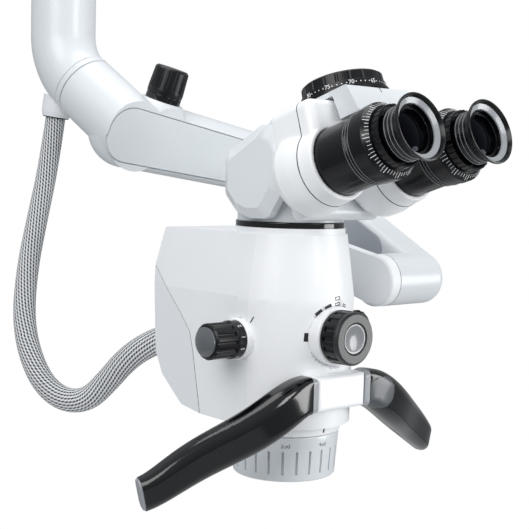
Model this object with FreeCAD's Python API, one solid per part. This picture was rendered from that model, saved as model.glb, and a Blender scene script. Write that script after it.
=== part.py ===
# Head of a surgical microscope on its carrier arm: down tube, roll arm, optics carrier,
# foldable binocular tube and handles. Millimetres, +Z up, the user sits at -Y.
# Pieces are modelled about the centre of the black dovetail ring and are shifted on export
# so that the origin lies on the shoulder of the top spigot.
import FreeCAD, Part
import math
import os

V = FreeCAD.Vector
X_AXIS = V(1, 0, 0)
Y_AXIS = V(0, 1, 0)
Z_AXIS = V(0, 0, 1)

# Clearances between pieces that fit
RUN = 0.05
GAP = 0.35
SEAM = 0.6

# Down tube and elbow
TUBE_X = -58.0
TUBE_Y = 190.0
TUBE_R = 23.8
TUBE_TOP = 190.0
ELBOW_Z = 111.0
ELBOW_BEND_R = 44.0
SPIGOT_R = 16.0
SPIGOT_LENGTH = 30.0
BORE_R = 9.0

# Roll joint between elbow and arm
ROLL_AIM = V(-6.4, -12.0, -38.6)
ELBOW_END = 23.6
ROLL_RING_R = 24.3
ROLL_RING_END = 29.6
ROLL_START = 30.0
ROLL_SHAFT_R = 12.0
ROLL_BUSH_R = 15.0
ROLL_BUSH_END = 58.0
ROLL_NUT_R = 14.0
ROLL_NUT_LENGTH = 7.0
ROLL_POCKET_R = 17.0
FRONT_AT = 90.0

# Arm casting
BAR_TILT = 9.0
BAR_DEPTH = 17.0
BAR_R_LEFT = 27.0
BAR_R_RIGHT = 23.0
KNOB_LEAN = V(0.165, -0.28, 0.946)
COVER_THICKNESS = 2.5
COVER_LEFT = -25.0
COVER_RIGHT = 118.0
COVER_HALF_LEFT = 20.6
COVER_HALF_RIGHT = 17.2
SIDE_COVER_THICKNESS = 2.0
SIDE_COVER_NEAR = 24.0
SIDE_COVER_FAR = 112.0
SIDE_COVER_HALF = 15.0
LEG_X = 115.0
LEG_INNER_X = 100.0
LEG_HALF_END = 18.7

# Tilt joint between arm and head
TILT_Y = -12.0
TILT_Z = -38.6
TILT_R = 18.7
TILT_HUB_INNER = 70.0
TILT_HUB_OUTER = 79.6
TILT_DRUM_INNER = 80.0
TILT_DRUM_OUTER = 131.0
TILT_SHAFT_R = 7.0
TILT_BUSH_R = 9.5
TILT_SHAFT_END = 118.0
LEVER_TILT = 14.0
LEVER_LENGTH = 62.0
FOOT_AT = 45.0

# Friction knob on the arm
KNOB_ALONG = 23.5
KNOB_RISE = 29.0
KNOB_R = 13.4
KNOB_HEIGHT = 24.0
KNOB_RIBS = 14
KNOB_SPINDLE_R = 3.0
KNOB_SINK = -4.0

# Optics carrier
RING_R = 36.5
RING_HEIGHT = 4.0
NOSE_R = 44.0
NOSE_LEVEL = -45.0
REAR_HALF = 41.0
REAR_Y = 96.0
BODY_TOP = -4.0
BODY_BOTTOM = -129.0
NECK_R = 37.0
COLLAR_SINK = 3.0

# Magnification knobs
SIDE_Z = -72.5
SIDE_COLLAR_R = 13.6
SIDE_COLLAR_X = NOSE_R + 3.0
SIDE_DIAL_R = 12.5
SIDE_DIAL_X = SIDE_COLLAR_X + 6.0
SIDE_GRIP_R = 11.8
SIDE_GRIP_X = SIDE_DIAL_X + 18.0
SIDE_CAP_R = 9.6
SIDE_CAP_X = SIDE_GRIP_X + 3.5
SIDE_CAP_RISE = 2.2
SIDE_SHAFT_R = 4.0
SIDE_RIBS = 14

# Magnification drum with its lens pairs, lamp and mirror
DRUM_R = 22.0
DRUM_HALF = 30.0
DRUM_ROOM = 2.0
PAIR_X = 14.0
PAIR_LENS_R = 8.0
PAIR_LENS_AT = 18.0
PATH_R = 30.0
LAMP_Z = -35.0
LAMP_HALF_X = 24.0
LAMP_HALF_Z = 14.0
LAMP_FRONT = 34.0
LAMP_BACK = 46.0
LAMP_TUBE_R = 11.0
MIRROR_Y = 8.0

# Light knob on the front
FRONT_Z = -68.6
FRONT_COLLAR_R = 19.5
FRONT_COLLAR_Y = NOSE_R + 3.9
FRONT_COLLAR_SINK = 8.0
FRONT_KNOB_R = 17.4
FRONT_KNOB_Y = FRONT_COLLAR_Y + 14.85
FRONT_FACE_DEPTH = 3.6
FRONT_CAP_R = 9.6
FRONT_CAP_INSET = 0.6
FRONT_HOLLOW_R = 26.0
FRONT_HOLLOW_DEPTH = 1.6
FRONT_RIBS = 16
FRONT_SHAFT_R = 4.0

# Objective and focusing ring
OBJECTIVE_TUBE_R = 31.0
COLLAR_R_TOP = OBJECTIVE_TUBE_R + 7.4
COLLAR_R_BOTTOM = OBJECTIVE_TUBE_R + 6.0
COLLAR_Z = -135.2
FOCUS_TOP = COLLAR_Z - SEAM
FOCUS_BOTTOM = -165.4
FOCUS_R_TOP = OBJECTIVE_TUBE_R + 5.4
FOCUS_R_BOTTOM = OBJECTIVE_TUBE_R + 3.4
FOCUS_SLOTS = 24
SLOT_HALF = 0.8
SLOT_START = 4.7
SLOT_LENGTH = 15.5
TUBE_SINK = 4.0
CELL_R = OBJECTIVE_TUBE_R - 2.0
CELL_TOP = -136.0
LENS_R = CELL_R - 4.0

# Handles
BRACKET_HALF = 21.8
BRACKET_FRONT = -NOSE_R - 8.7
BRACKET_DEPTH = 18.7
BRACKET_TOP = -93.3
BRACKET_LOW = -115.5
HANDLE_COLLAR = 4.5
HANDLE_ROOT = 7.2
ROOT_DEPTH = 15.0
ROOT_HEIGHT = 24.5

# Binocular tube
EYE_TILT = 18.0
EYE_GAP = 64.0
RIM_Y = -137.5
RIM_Z = 63.6
LOW_PIVOT = V(0, -5.0, 26.0)
HIGH_PIVOT = V(0, -20.0, 50.0)
LINK_INNER = 34.0
LINK_OUTER = 44.5
LINK_FACET = 5.0
LINK_FACE_SHARE = 0.72
NECK_FRONT = 37.3
PIVOT_R = 6.0
DIAL_PIN_R = 4.0
DIAL_ALONG = 70.0
DIAL_UP = 62.5
DIAL_FLANGE_R = 28.7
DIAL_KNOB_R = 26.6
DIAL_HEIGHT = 13.2
DIAL_RIBS = 20
ROOF_HALF = 28.3
PRISM_X = 22.0
PRISM_HALF = 6.0
OCULAR_HALF = 17.0

# Eyepieces, measured back from the rim of the eyecup
EYE_BORE_R = 13.0
EYE_NECK_R = 14.7
EYE_SLEEVE_R = 21.2
EYE_BARREL_R = 22.8
EYE_LENS_AT = 12.0
SLEEVE_END = 71.0
DRUM_START = 66.0
CUP_R = 20.2
CUP_NECK_R = 16.0
CUP_BEAD_R = 16.45
CUP_END = 7.5
CUP_NECK_END = 16.8
SCALE_R = 23.4
KNURL_R = 19.1
KNURL_BORE_R = 18.0
KNURL_START = 16.4
KNURL_END = 22.2
KNURLS = 30

# Hose from the gland under the elbow to the rear cover
HOSE_D = 17.0
BOSS_WALL = 3.4
BOSS_LENGTH = 18.0
GLAND_R = 11.0
GLAND_LENGTH = 16.0

SHAPES = {}


def unit(vector):
    """Copy of a vector with length one."""
    return V(vector).normalize()


def frame(origin, z_dir, x_dir=X_AXIS):
    """Placement whose local Z points along z_dir and whose local X leans to x_dir."""
    z = unit(z_dir)
    x = unit(V(x_dir) - z * z.dot(x_dir))
    y = z.cross(x)
    matrix = FreeCAD.Matrix(x.x, y.x, z.x, origin.x, x.y, y.y, z.y, origin.y,
                            x.z, y.z, z.z, origin.z, 0, 0, 0, 1)
    return FreeCAD.Placement(matrix)


def placed(shape, place):
    """Copy of a shape moved from local to head coordinates."""
    moved = shape.copy()
    moved.Placement = place.multiply(moved.Placement)
    return moved


def face_of(points):
    """Flat face inside a closed polygon."""
    return Part.Face(Part.makePolygon(points + [points[0]]))


def turned(profile, place):
    """Solid of revolution about local Z from (radius, height) corners."""
    solid = face_of([V(r, 0, h) for r, h in profile]).revolve(V(0, 0, 0), Z_AXIS, 360)
    return placed(Part.Solid(solid.Shells[0]) if solid.ShapeType != "Solid" else solid, place)


def rod(radius, start, end, place):
    """Cylinder along local Z between two heights."""
    return placed(Part.makeCylinder(radius, end - start, V(0, 0, start), Z_AXIS), place)


def sleeve(outer, inner, start, end, place):
    """Straight ring along local Z."""
    return turned([(inner, start), (outer, start), (outer, end), (inner, end)], place)


def block(x0, x1, y0, y1, z0, z1):
    """Axis-aligned box from its two corners."""
    return Part.makeBox(x1 - x0, y1 - y0, z1 - z0, V(x0, y0, z0))


def rounded_outline(corners, radii):
    """Closed planar wire through the corners, each rounded by its own radius."""
    count = len(corners)
    edges = []
    starts = []
    ends = []
    for i in range(count):
        corner = corners[i]
        before = unit(corners[i - 1] - corner)
        after = unit(corners[(i + 1) % count] - corner)
        if radii[i] <= 0:
            starts.append((corner, None))
            ends.append(corner)
            continue
        half = before.getAngle(after) / 2
        reach = radii[i] / math.tan(half)
        middle = unit(before + after)
        centre = corner + middle * (radii[i] / math.sin(half))
        starts.append((corner + before * reach, centre - middle * radii[i]))
        ends.append(corner + after * reach)
    for i in range(count):
        start, mid = starts[i]
        if mid is not None:
            edges.append(Part.Arc(start, mid, ends[i]).toShape())
        following = starts[(i + 1) % count][0]
        if (following - ends[i]).Length > 1e-6:
            edges.append(Part.LineSegment(ends[i], following).toShape())
    return Part.Wire(edges)


def prism(corners, radii, direction):
    """Solid swept straight from a rounded outline."""
    return Part.Face(rounded_outline(corners, radii)).extrude(direction)


def section(place, width, height, radius):
    """Rounded rectangle in the XY plane of a frame."""
    half_w = width / 2
    half_h = height / 2
    corners = [V(-half_w, -half_h, 0), V(half_w, -half_h, 0), V(half_w, half_h, 0), V(-half_w, half_h, 0)]
    wire = rounded_outline(corners, [radius] * 4)
    return placed(wire, place)


def ribbed(solid, place, radius, cutter_r, count, start, end):
    """Grip with straight flutes cut round its rim."""
    cutters = []
    for i in range(count):
        angle = 2 * math.pi * i / count
        spot = V(radius * math.cos(angle), radius * math.sin(angle), start)
        cutters.append(placed(Part.makeCylinder(cutter_r, end - start, spot, Z_AXIS), place))
    return solid.cut(Part.makeCompound(cutters))


def softened(solid, radius, test):
    """Fillet of the edges whose middle passes a test."""
    edges = []
    for edge in solid.Edges:
        middle = edge.valueAt((edge.FirstParameter + edge.LastParameter) / 2)
        if test(middle, edge):
            edges.append(edge)
    return solid.makeFillet(radius, edges) if edges else solid


def keep(name, shape):
    """Remember a finished piece under its node name."""
    SHAPES[name] = shape


# Axes that several pieces share
ELBOW = V(TUBE_X, TUBE_Y, ELBOW_Z)
ROLL_DIR = unit(ROLL_AIM - ELBOW)
ROLL = frame(ELBOW, ROLL_DIR)
BAR_DIR = V(math.cos(math.radians(BAR_TILT)), 0, -math.sin(math.radians(BAR_TILT)))
BAR_UP = unit(KNOB_LEAN - BAR_DIR * BAR_DIR.dot(KNOB_LEAN))
BAR_FRONT = unit(BAR_DIR.cross(BAR_UP))
FRONT_POINT = ELBOW + ROLL_DIR * FRONT_AT
BAR_START = FRONT_POINT - BAR_FRONT * BAR_DEPTH
CORNER = BAR_START + BAR_DIR * ((LEG_X - BAR_START.x) / BAR_DIR.x)
BAR_LENGTH = (CORNER - BAR_START).Length
TILT = frame(V(0, TILT_Y, TILT_Z), X_AXIS, Y_AXIS)
KNOB_BASE = BAR_START + BAR_DIR * KNOB_ALONG + BAR_UP * KNOB_RISE
KNOB = frame(KNOB_BASE, BAR_UP, BAR_DIR)
EYE = math.radians(EYE_TILT)
EYE_DIR = V(0, -math.cos(EYE), math.sin(EYE))
EYE_UP = V(0, math.sin(EYE), math.cos(EYE))
SIDE = frame(V(0, 0, SIDE_Z), X_AXIS, Y_AXIS)
LIGHT = frame(V(0, 0, FRONT_Z), V(0, -1, 0))
LOW = frame(LOW_PIVOT, X_AXIS, Y_AXIS)
HIGH = frame(HIGH_PIVOT, X_AXIS, Y_AXIS)
GLAND = V(-60.4, 195.5, 73.0)
HOSE = [GLAND, V(-63.3, 200.0, 36.0), V(-69.4, 205.0, -3.0), V(-76.4, 207.0, -40.0), V(-81.0, 205.0, -78.0),
        V(-80.0, 197.0, -106.0), V(-74.0, 186.0, -128.5), V(-63.0, 174.0, -140.0), V(-50.5, 161.0, -138.5),
        V(-42.5, 147.0, -122.0), V(-38.0, 131.0, -104.5), V(-31.5, 112.0, -91.0), V(-27.0, 98.5, -85.7)]
HOSE_MIDDLE = (HOSE[4] + HOSE[5]) * 0.5


def tube_outer():
    """Solid form of the vertical tube and its bend."""
    tangent = ELBOW_BEND_R * math.tan(ROLL_DIR.getAngle(V(0, 0, -1)) / 2)
    top = V(TUBE_X, TUBE_Y, TUBE_TOP)
    bend_start = ELBOW + Z_AXIS * tangent
    bend_end = ELBOW + ROLL_DIR * tangent
    inward = unit(Z_AXIS + ROLL_DIR)
    reach = math.hypot(tangent, ELBOW_BEND_R)
    bend_mid = ELBOW + inward * (reach - ELBOW_BEND_R)
    path = Part.Wire([
        Part.LineSegment(top, bend_start).toShape(),
        Part.Arc(bend_start, bend_mid, bend_end).toShape(),
        Part.LineSegment(bend_end, ELBOW + ROLL_DIR * ELBOW_END).toShape(),
    ])
    circle = Part.Wire(Part.makeCircle(TUBE_R, top, Z_AXIS))
    return path.makePipeShell([circle], True, False)


def down_tube():
    """Vertical tube, bend and end flange in one casting, with the top spigot."""
    top = V(TUBE_X, TUBE_Y, TUBE_TOP)
    body = tube_outer()
    spigot = Part.makeCylinder(SPIGOT_R, SPIGOT_LENGTH + 5, top - Z_AXIS * 5, Z_AXIS)
    bore = Part.makeCylinder(BORE_R, SPIGOT_LENGTH + 70, top - Z_AXIS * 70, Z_AXIS)
    return body.fuse(spigot).cut(bore).removeSplitter()


def roll_joint():
    """Silver ring, shaft, bush and lock nut of the roll joint."""
    keep("roll_ring", sleeve(ROLL_RING_R, ROLL_SHAFT_R, ELBOW_END, ROLL_RING_END, ROLL))
    nut_start = ROLL_BUSH_END + GAP
    shaft_end = nut_start + ROLL_NUT_LENGTH + 1
    keep("roll_shaft", rod(ROLL_SHAFT_R, ELBOW_END, shaft_end, ROLL))
    keep("roll_bush", sleeve(ROLL_BUSH_R, ROLL_SHAFT_R + RUN, ROLL_START, ROLL_BUSH_END, ROLL))
    nut = sleeve(ROLL_NUT_R, ROLL_SHAFT_R, nut_start, nut_start + ROLL_NUT_LENGTH, ROLL)
    keep("roll_lock_nut", nut)


def arm_outer():
    """Outer form of the arm: journal, flattened bar, bent leg and tilt drum."""
    journal = rod(ROLL_RING_R, ROLL_START, FRONT_AT + 25, ROLL)
    bar = placed(round_ended_bar(), frame(BAR_START, BAR_DIR, BAR_UP))
    leg = tilt_leg()
    drum = rod(TILT_R, TILT_DRUM_INNER, TILT_DRUM_OUTER, TILT)
    drum = softened(drum, 9.0, lambda m, e: m.x > TILT_DRUM_OUTER - 1)
    front = placed(block(-90, 250, -90, 90, 0, 90), frame(FRONT_POINT, BAR_FRONT, BAR_DIR))
    boss = turned([(0, -18.0), (23.0, -18.0), (21.5, -9.0), (17.5, -3.0), (15.0, -1.0), (0, -1.0)], KNOB)
    body = journal.fuse([bar, boss]).cut(front)
    return body.fuse([leg, drum]).removeSplitter()


def round_ended_bar():
    """Tapering bar along local Z with a ball-shaped end on each side."""
    slant = math.asin((BAR_R_LEFT - BAR_R_RIGHT) / BAR_LENGTH)
    near = V(BAR_R_LEFT * math.cos(slant), 0, BAR_R_LEFT * math.sin(slant))
    far = V(BAR_R_RIGHT * math.cos(slant), 0, BAR_LENGTH + BAR_R_RIGHT * math.sin(slant))
    low = V(0, 0, -BAR_R_LEFT)
    high = V(0, 0, BAR_LENGTH + BAR_R_RIGHT)
    diagonal = math.sqrt(0.5)
    low_mid = V(BAR_R_LEFT * diagonal, 0, -BAR_R_LEFT * diagonal)
    high_mid = V(BAR_R_RIGHT * diagonal, 0, BAR_LENGTH + BAR_R_RIGHT * diagonal)
    outline = Part.Wire([
        Part.Arc(low, low_mid, near).toShape(),
        Part.LineSegment(near, far).toShape(),
        Part.Arc(far, high_mid, high).toShape(),
        Part.LineSegment(high, low).toShape(),
    ])
    return Part.Face(outline).revolve(V(0, 0, 0), Z_AXIS, 360)


def tilt_leg():
    """Leg from the bar's corner down to the tilt drum, flat on its inner side."""
    end = V(LEG_X, TILT_Y, TILT_Z)
    along = unit(end - CORNER)
    up = unit(X_AXIS.cross(along))
    length = (end - CORNER).Length
    wires = []
    for share, half_w, half_h, radius in ((0.0, 17.0, BAR_R_RIGHT, 14.0), (0.35, 15.0, 21.0, 9.0),
                                          (1.0, 15.0, LEG_HALF_END, 8.0)):
        spot = CORNER + along * (length * share)
        wires.append(section(frame(spot, along, X_AXIS), 2 * half_w, 2 * half_h, radius))
    return Part.makeLoft(wires, True, True)


def arm():
    """Arm casting with its covers, drum bush and friction knob."""
    casting = arm_outer()
    bores = [
        rod(ROLL_BUSH_R, ROLL_START - 1, ROLL_BUSH_END + GAP, ROLL),
        rod(ROLL_POCKET_R, ROLL_BUSH_END, FRONT_AT + 30, ROLL),
        rod(TILT_BUSH_R, TILT_DRUM_INNER - 1, TILT_SHAFT_END + 2, TILT),
    ]
    recess = front_cover(0.0, COVER_THICKNESS, 1.0)
    knob_seat = [rod(KNOB_R - 0.3, KNOB_SINK, KNOB_HEIGHT, KNOB),
                 rod(KNOB_SPINDLE_R + RUN, -15.0, 0.0, KNOB)]
    casting = casting.cut(bores + knob_seat + [recess, side_cover(0.0, 1.0)])
    keep("arm_casting", casting)
    keep("arm_front_cover", front_cover(SEAM, COVER_THICKNESS, 0.0))
    keep("arm_side_cover", side_cover(SEAM / 2, 0.0))
    keep("tilt_bush", sleeve(TILT_BUSH_R, TILT_SHAFT_R + RUN, TILT_DRUM_INNER, TILT_SHAFT_END, TILT))


def front_cover(clear, thickness, proud):
    """Inset plate on the bar's flat front; clear is taken off all round."""
    place = frame(FRONT_POINT, BAR_FRONT, BAR_DIR)
    left = COVER_LEFT + clear
    high = COVER_HALF_LEFT - clear
    low = COVER_HALF_RIGHT - clear
    end = COVER_RIGHT - clear
    corners = [V(left, -high - 1, proud), V(end, -low, proud), V(end, low, proud), V(left, high, proud)]
    outline = rounded_outline(corners, [18.5, 8.0, 8.0, 18.5])
    plate = Part.Face(outline).extrude(V(0, 0, -thickness - proud))
    return placed(plate, place)


def side_cover(clear, proud):
    """Inset plate on the inner side of the leg."""
    end = V(LEG_INNER_X, TILT_Y, TILT_Z)
    start = V(LEG_INNER_X, CORNER.y, CORNER.z)
    along = unit(start - end)
    up = unit(V(0, -along.z, along.y))
    base = end + along * SIDE_COVER_NEAR
    far = end + along * SIDE_COVER_FAR
    half = SIDE_COVER_HALF - clear
    corners = [base - up * half + along * clear, far - up * half - along * clear,
               far + up * half - along * clear, base + up * half + along * clear]
    outline = rounded_outline(corners, [7.0, 7.0, 7.0, 12.0])
    plate = Part.Face(outline).extrude(V(SIDE_COVER_THICKNESS + proud, 0, 0))
    plate.translate(V(-proud, 0, 0))
    return plate


def friction_knob():
    """Black ribbed knob that presses the brake pad onto the roll shaft."""
    keep("friction_base_ring", sleeve(KNOB_R - 0.3, KNOB_SPINDLE_R + RUN, KNOB_SINK, 3.4, KNOB))
    knob = turned([(0, 3.8), (KNOB_R - 0.2, 3.8), (KNOB_R, 6.5), (KNOB_R - 0.8, KNOB_HEIGHT - 1.5),
                   (KNOB_R - 2.2, KNOB_HEIGHT), (0, KNOB_HEIGHT)], KNOB)
    knob = ribbed(knob, KNOB, KNOB_R + 0.7, 1.9, KNOB_RIBS, 8.0, KNOB_HEIGHT + 1)
    keep("friction_knob", knob)
    keep("friction_spindle", rod(KNOB_SPINDLE_R, -14.0, 3.8, KNOB))


def tilt_bracket():
    """Hub disc with its lever and foot that carry the head on the tilt shaft."""
    hub = rod(TILT_R - 0.2, TILT_HUB_INNER, TILT_HUB_OUTER, TILT)
    hub = softened(hub, 2.5, lambda m, e: m.x < TILT_HUB_INNER + 0.1)
    tilt = math.radians(LEVER_TILT)
    lever_dir = V(0, math.cos(tilt), math.sin(tilt))
    up = V(0, -lever_dir.z, lever_dir.y)
    pivot = V(TILT_HUB_INNER, TILT_Y, TILT_Z)
    far = pivot + lever_dir * LEVER_LENGTH
    corners = [pivot - up * 17.0, far - up * 14.0, far + up * 14.0, pivot + up * 17.0]
    lever = prism(corners, [0, 10.0, 10.0, 0], V(TILT_HUB_OUTER - TILT_HUB_INNER, 0, 0))
    foot_mid = pivot + lever_dir * FOOT_AT
    foot = block(REAR_HALF + 0.6, TILT_HUB_INNER + 1, foot_mid.y - 15, foot_mid.y + 14,
                 foot_mid.z - 12, foot_mid.z + 12)
    foot = softened(foot, 5.0, lambda m, e: abs(e.tangentAt(e.FirstParameter).x) > 0.9)
    keep("tilt_bracket", hub.fuse([lever, foot]).removeSplitter().cut(carrier_outer()))
    keep("tilt_shaft", rod(TILT_SHAFT_R, TILT_HUB_OUTER, TILT_SHAFT_END - 1, TILT))


def plan_outline(level, nose, half, rear):
    """Plan of the optics carrier: round nose, straight sides, square rear."""
    lean = math.asin((nose - half) / math.hypot(rear, 0.001 + rear / 2))
    side_x = nose * math.cos(lean)
    side_y = nose * math.sin(lean)
    points = [V(-half, rear, level), V(-side_x, side_y, level), V(0, -nose, level),
              V(side_x, side_y, level), V(half, rear, level)]
    return Part.Wire([
        Part.LineSegment(points[0], points[1]).toShape(),
        Part.Arc(points[1], points[2], points[3]).toShape(),
        Part.LineSegment(points[3], points[4]).toShape(),
        Part.LineSegment(points[4], points[0]).toShape(),
    ])


def side_slab(corners, radii):
    """Slab across the full width from a side profile given as (y, z)."""
    flat = [V(-80, y, z) for y, z in corners]
    return prism(flat, radii, V(160, 0, 0))


def carrier_outer():
    """Outer form of the optics carrier before the rear cover is split off."""
    wires = [
        plan_outline(BODY_BOTTOM, NOSE_R - 0.6, REAR_HALF - 1.5, REAR_Y),
        plan_outline(NOSE_LEVEL, NOSE_R, REAR_HALF, REAR_Y),
        plan_outline(BODY_TOP, NECK_R + 1.4, REAR_HALF - 2.6, REAR_Y),
    ]
    lower = Part.makeLoft(wires[:2], True, True)
    upper = Part.makeLoft(wires[1:], True, True)
    profile = side_slab([(-60, BODY_TOP), (86, BODY_TOP), (95, -32), (93, -92), (85, -108),
                         (62, -126), (40, BODY_BOTTOM), (-60, BODY_BOTTOM)],
                        [0, 4.0, 12.0, 12.0, 8.0, 8.0, 10.0, 0])
    body = lower.fuse(upper).removeSplitter().common(profile)
    neck = Part.makeCylinder(NECK_R, -BODY_TOP + 6, V(0, 0, BODY_TOP - 6), Z_AXIS)
    return body.fuse(neck)


def rear_region(clear):
    """Everything behind the seam between main housing and rear cover."""
    seam = [(95, -31), (63.6, -62), (52.3, -74), (48.5, -88), (40.8, -125), (38, -150)]
    corners = [(120, -31)] + [(y + clear, z) for y, z in seam] + [(120, -150)]
    return side_slab(corners, [0, 0, 0, 10.0, 0, 0, 0, 0])


def housings():
    """Main housing, hollow inside, and the rear cover."""
    outer = carrier_outer()
    main = outer.cut(rear_region(0.0))
    cover = outer.common(rear_region(SEAM))
    room_end = DRUM_HALF + 2 * DRUM_ROOM
    drum_room = rod(DRUM_R + DRUM_ROOM, -room_end, room_end, SIDE)
    path_room = Part.makeCylinder(PATH_R, 20 - BODY_BOTTOM, V(0, 0, BODY_BOTTOM - 10), Z_AXIS)
    lamp_x = LAMP_HALF_X + DRUM_ROOM
    lamp_z = LAMP_HALF_Z + 1.0
    lamp_room = block(-lamp_x, lamp_x, 10, LAMP_BACK, LAMP_Z - lamp_z, LAMP_Z + lamp_z)
    side_bore = rod(SIDE_SHAFT_R + GAP, -SIDE_COLLAR_X, SIDE_COLLAR_X, SIDE)
    seat = NOSE_R - COLLAR_SINK
    collar_bores = [rod(SIDE_COLLAR_R, -seat - 20, -seat, SIDE), rod(SIDE_COLLAR_R, seat, seat + 20, SIDE)]
    front_seat = NOSE_R - FRONT_COLLAR_SINK
    front_bores = [rod(FRONT_COLLAR_R, front_seat, NOSE_R + 10, LIGHT),
                   rod(FRONT_SHAFT_R + GAP, 20.0, front_seat + 1, LIGHT)]
    tube_bore = Part.makeCylinder(OBJECTIVE_TUBE_R, 16 + TUBE_SINK, V(0, 0, BODY_BOTTOM - 16), Z_AXIS)
    main = main.cut([drum_room, path_room, lamp_room, side_bore, tube_bore] + collar_bores + front_bores)
    inlet_dir = unit(HOSE[-1] - HOSE[-2])
    boss_r = HOSE_D / 2 + BOSS_WALL
    boss = turned([(0, 0), (boss_r - 1.0, 0), (boss_r, 1.0), (boss_r, BOSS_LENGTH), (0, BOSS_LENGTH)],
                  frame(HOSE[-1], inlet_dir))
    keep("main_housing", main)
    keep("rear_cover", cover.fuse(boss).removeSplitter())


def optics_inside():
    """Magnification drum with its lens pairs, lamp module and mirror."""
    drum = rod(DRUM_R, -DRUM_HALF, DRUM_HALF, SIDE)
    pairs = []
    for angle in (0.0, 60.0, 120.0):
        turn = math.radians(angle)
        for x in (-PAIR_X, PAIR_X):
            direction = V(0, math.cos(turn), math.sin(turn))
            spot = V(x, 0, SIDE_Z)
            pairs.append((spot, direction))
    holes = [rod(PAIR_LENS_R, -DRUM_HALF, DRUM_HALF, frame(spot, direction)) for spot, direction in pairs]
    drum = drum.cut(holes + [rod(SIDE_SHAFT_R - RUN, -DRUM_HALF - 1, DRUM_HALF + 1, SIDE)])
    lenses = []
    for spot, direction in pairs:
        for side in (-1, 1):
            place = frame(spot + direction * (side * PAIR_LENS_AT), direction * side)
            lenses.append(lens(PAIR_LENS_R - RUN, 1.2, 1.0, place))
    keep("magnification_drum", drum)
    keep("magnification_lenses", Part.makeCompound(lenses))
    mirror_place = frame(V(0, MIRROR_Y, LAMP_Z), V(0, 1, -1))
    keep("deflection_mirror", placed(block(-13.0, 13.0, -15.0, 15.0, -2.0, 0), mirror_place))
    tube = rod(LAMP_TUBE_R, -10.0, 40.0, frame(V(0, 0, LAMP_Z), Y_AXIS))
    tube = tube.cut(placed(block(-40, 40, -40, 40, -60, 0), mirror_place))
    lamp = block(-LAMP_HALF_X, LAMP_HALF_X, LAMP_FRONT, LAMP_BACK,
                 LAMP_Z - LAMP_HALF_Z, LAMP_Z + LAMP_HALF_Z)
    keep("lamp_module", tube.fuse(lamp).removeSplitter())


def lens(radius, edge, rise, place):
    """Plano-convex lens with its bulge along local Z."""
    ball_r = (radius * radius + rise * rise) / (2 * rise)
    disc = Part.makeCylinder(radius, edge + rise)
    ball = Part.makeSphere(ball_r, V(0, 0, edge + rise - ball_r))
    return placed(disc.common(ball), place)


def magnification_knobs():
    """Shaft through the carrier with a ribbed dial knob on each side."""
    keep("magnification_shaft", rod(SIDE_SHAFT_R - RUN, -SIDE_GRIP_X + 6, SIDE_GRIP_X - 6, SIDE))
    collars = []
    caps = []
    for side, name in ((-1, "left"), (1, "right")):
        place = frame(V(0, 0, SIDE_Z), X_AXIS * side, Y_AXIS)
        bore = SIDE_SHAFT_R + GAP
        seat = NOSE_R - COLLAR_SINK
        collars.append(turned([(bore, seat), (SIDE_COLLAR_R, seat), (SIDE_COLLAR_R, SIDE_COLLAR_X - 0.8),
                               (SIDE_COLLAR_R - 0.8, SIDE_COLLAR_X), (bore, SIDE_COLLAR_X)], place))
        knob = turned([(SIDE_SHAFT_R, SIDE_COLLAR_X + GAP), (SIDE_DIAL_R, SIDE_COLLAR_X + GAP),
                       (SIDE_DIAL_R, SIDE_DIAL_X), (SIDE_GRIP_R, SIDE_DIAL_X + 0.8),
                       (SIDE_GRIP_R, SIDE_GRIP_X - 1.2), (SIDE_GRIP_R - 1.2, SIDE_GRIP_X),
                       (SIDE_CAP_R, SIDE_GRIP_X), (SIDE_CAP_R, SIDE_GRIP_X - 2.0),
                       (SIDE_SHAFT_R, SIDE_GRIP_X - 2.0)], place)
        knob = ribbed(knob, place, SIDE_GRIP_R + 0.7, 1.5, SIDE_RIBS, SIDE_DIAL_X + 1.4, SIDE_GRIP_X + 1)
        keep("magnification_knob_" + name, knob)
        caps.append(dome(SIDE_CAP_R, SIDE_GRIP_X - 2.0, SIDE_CAP_X, SIDE_CAP_RISE, place))
    keep("knob_caps", Part.makeCompound(caps))
    keep("side_collars", Part.makeCompound(collars))


def dome(radius, start, end, rise, place):
    """Disc with a shallow ball-shaped face."""
    ball_r = (radius * radius + rise * rise) / (2 * rise)
    disc = Part.makeCylinder(radius, end - start, V(0, 0, start))
    ball = Part.makeSphere(ball_r, V(0, 0, end - ball_r))
    return placed(disc.common(ball), place)


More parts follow.
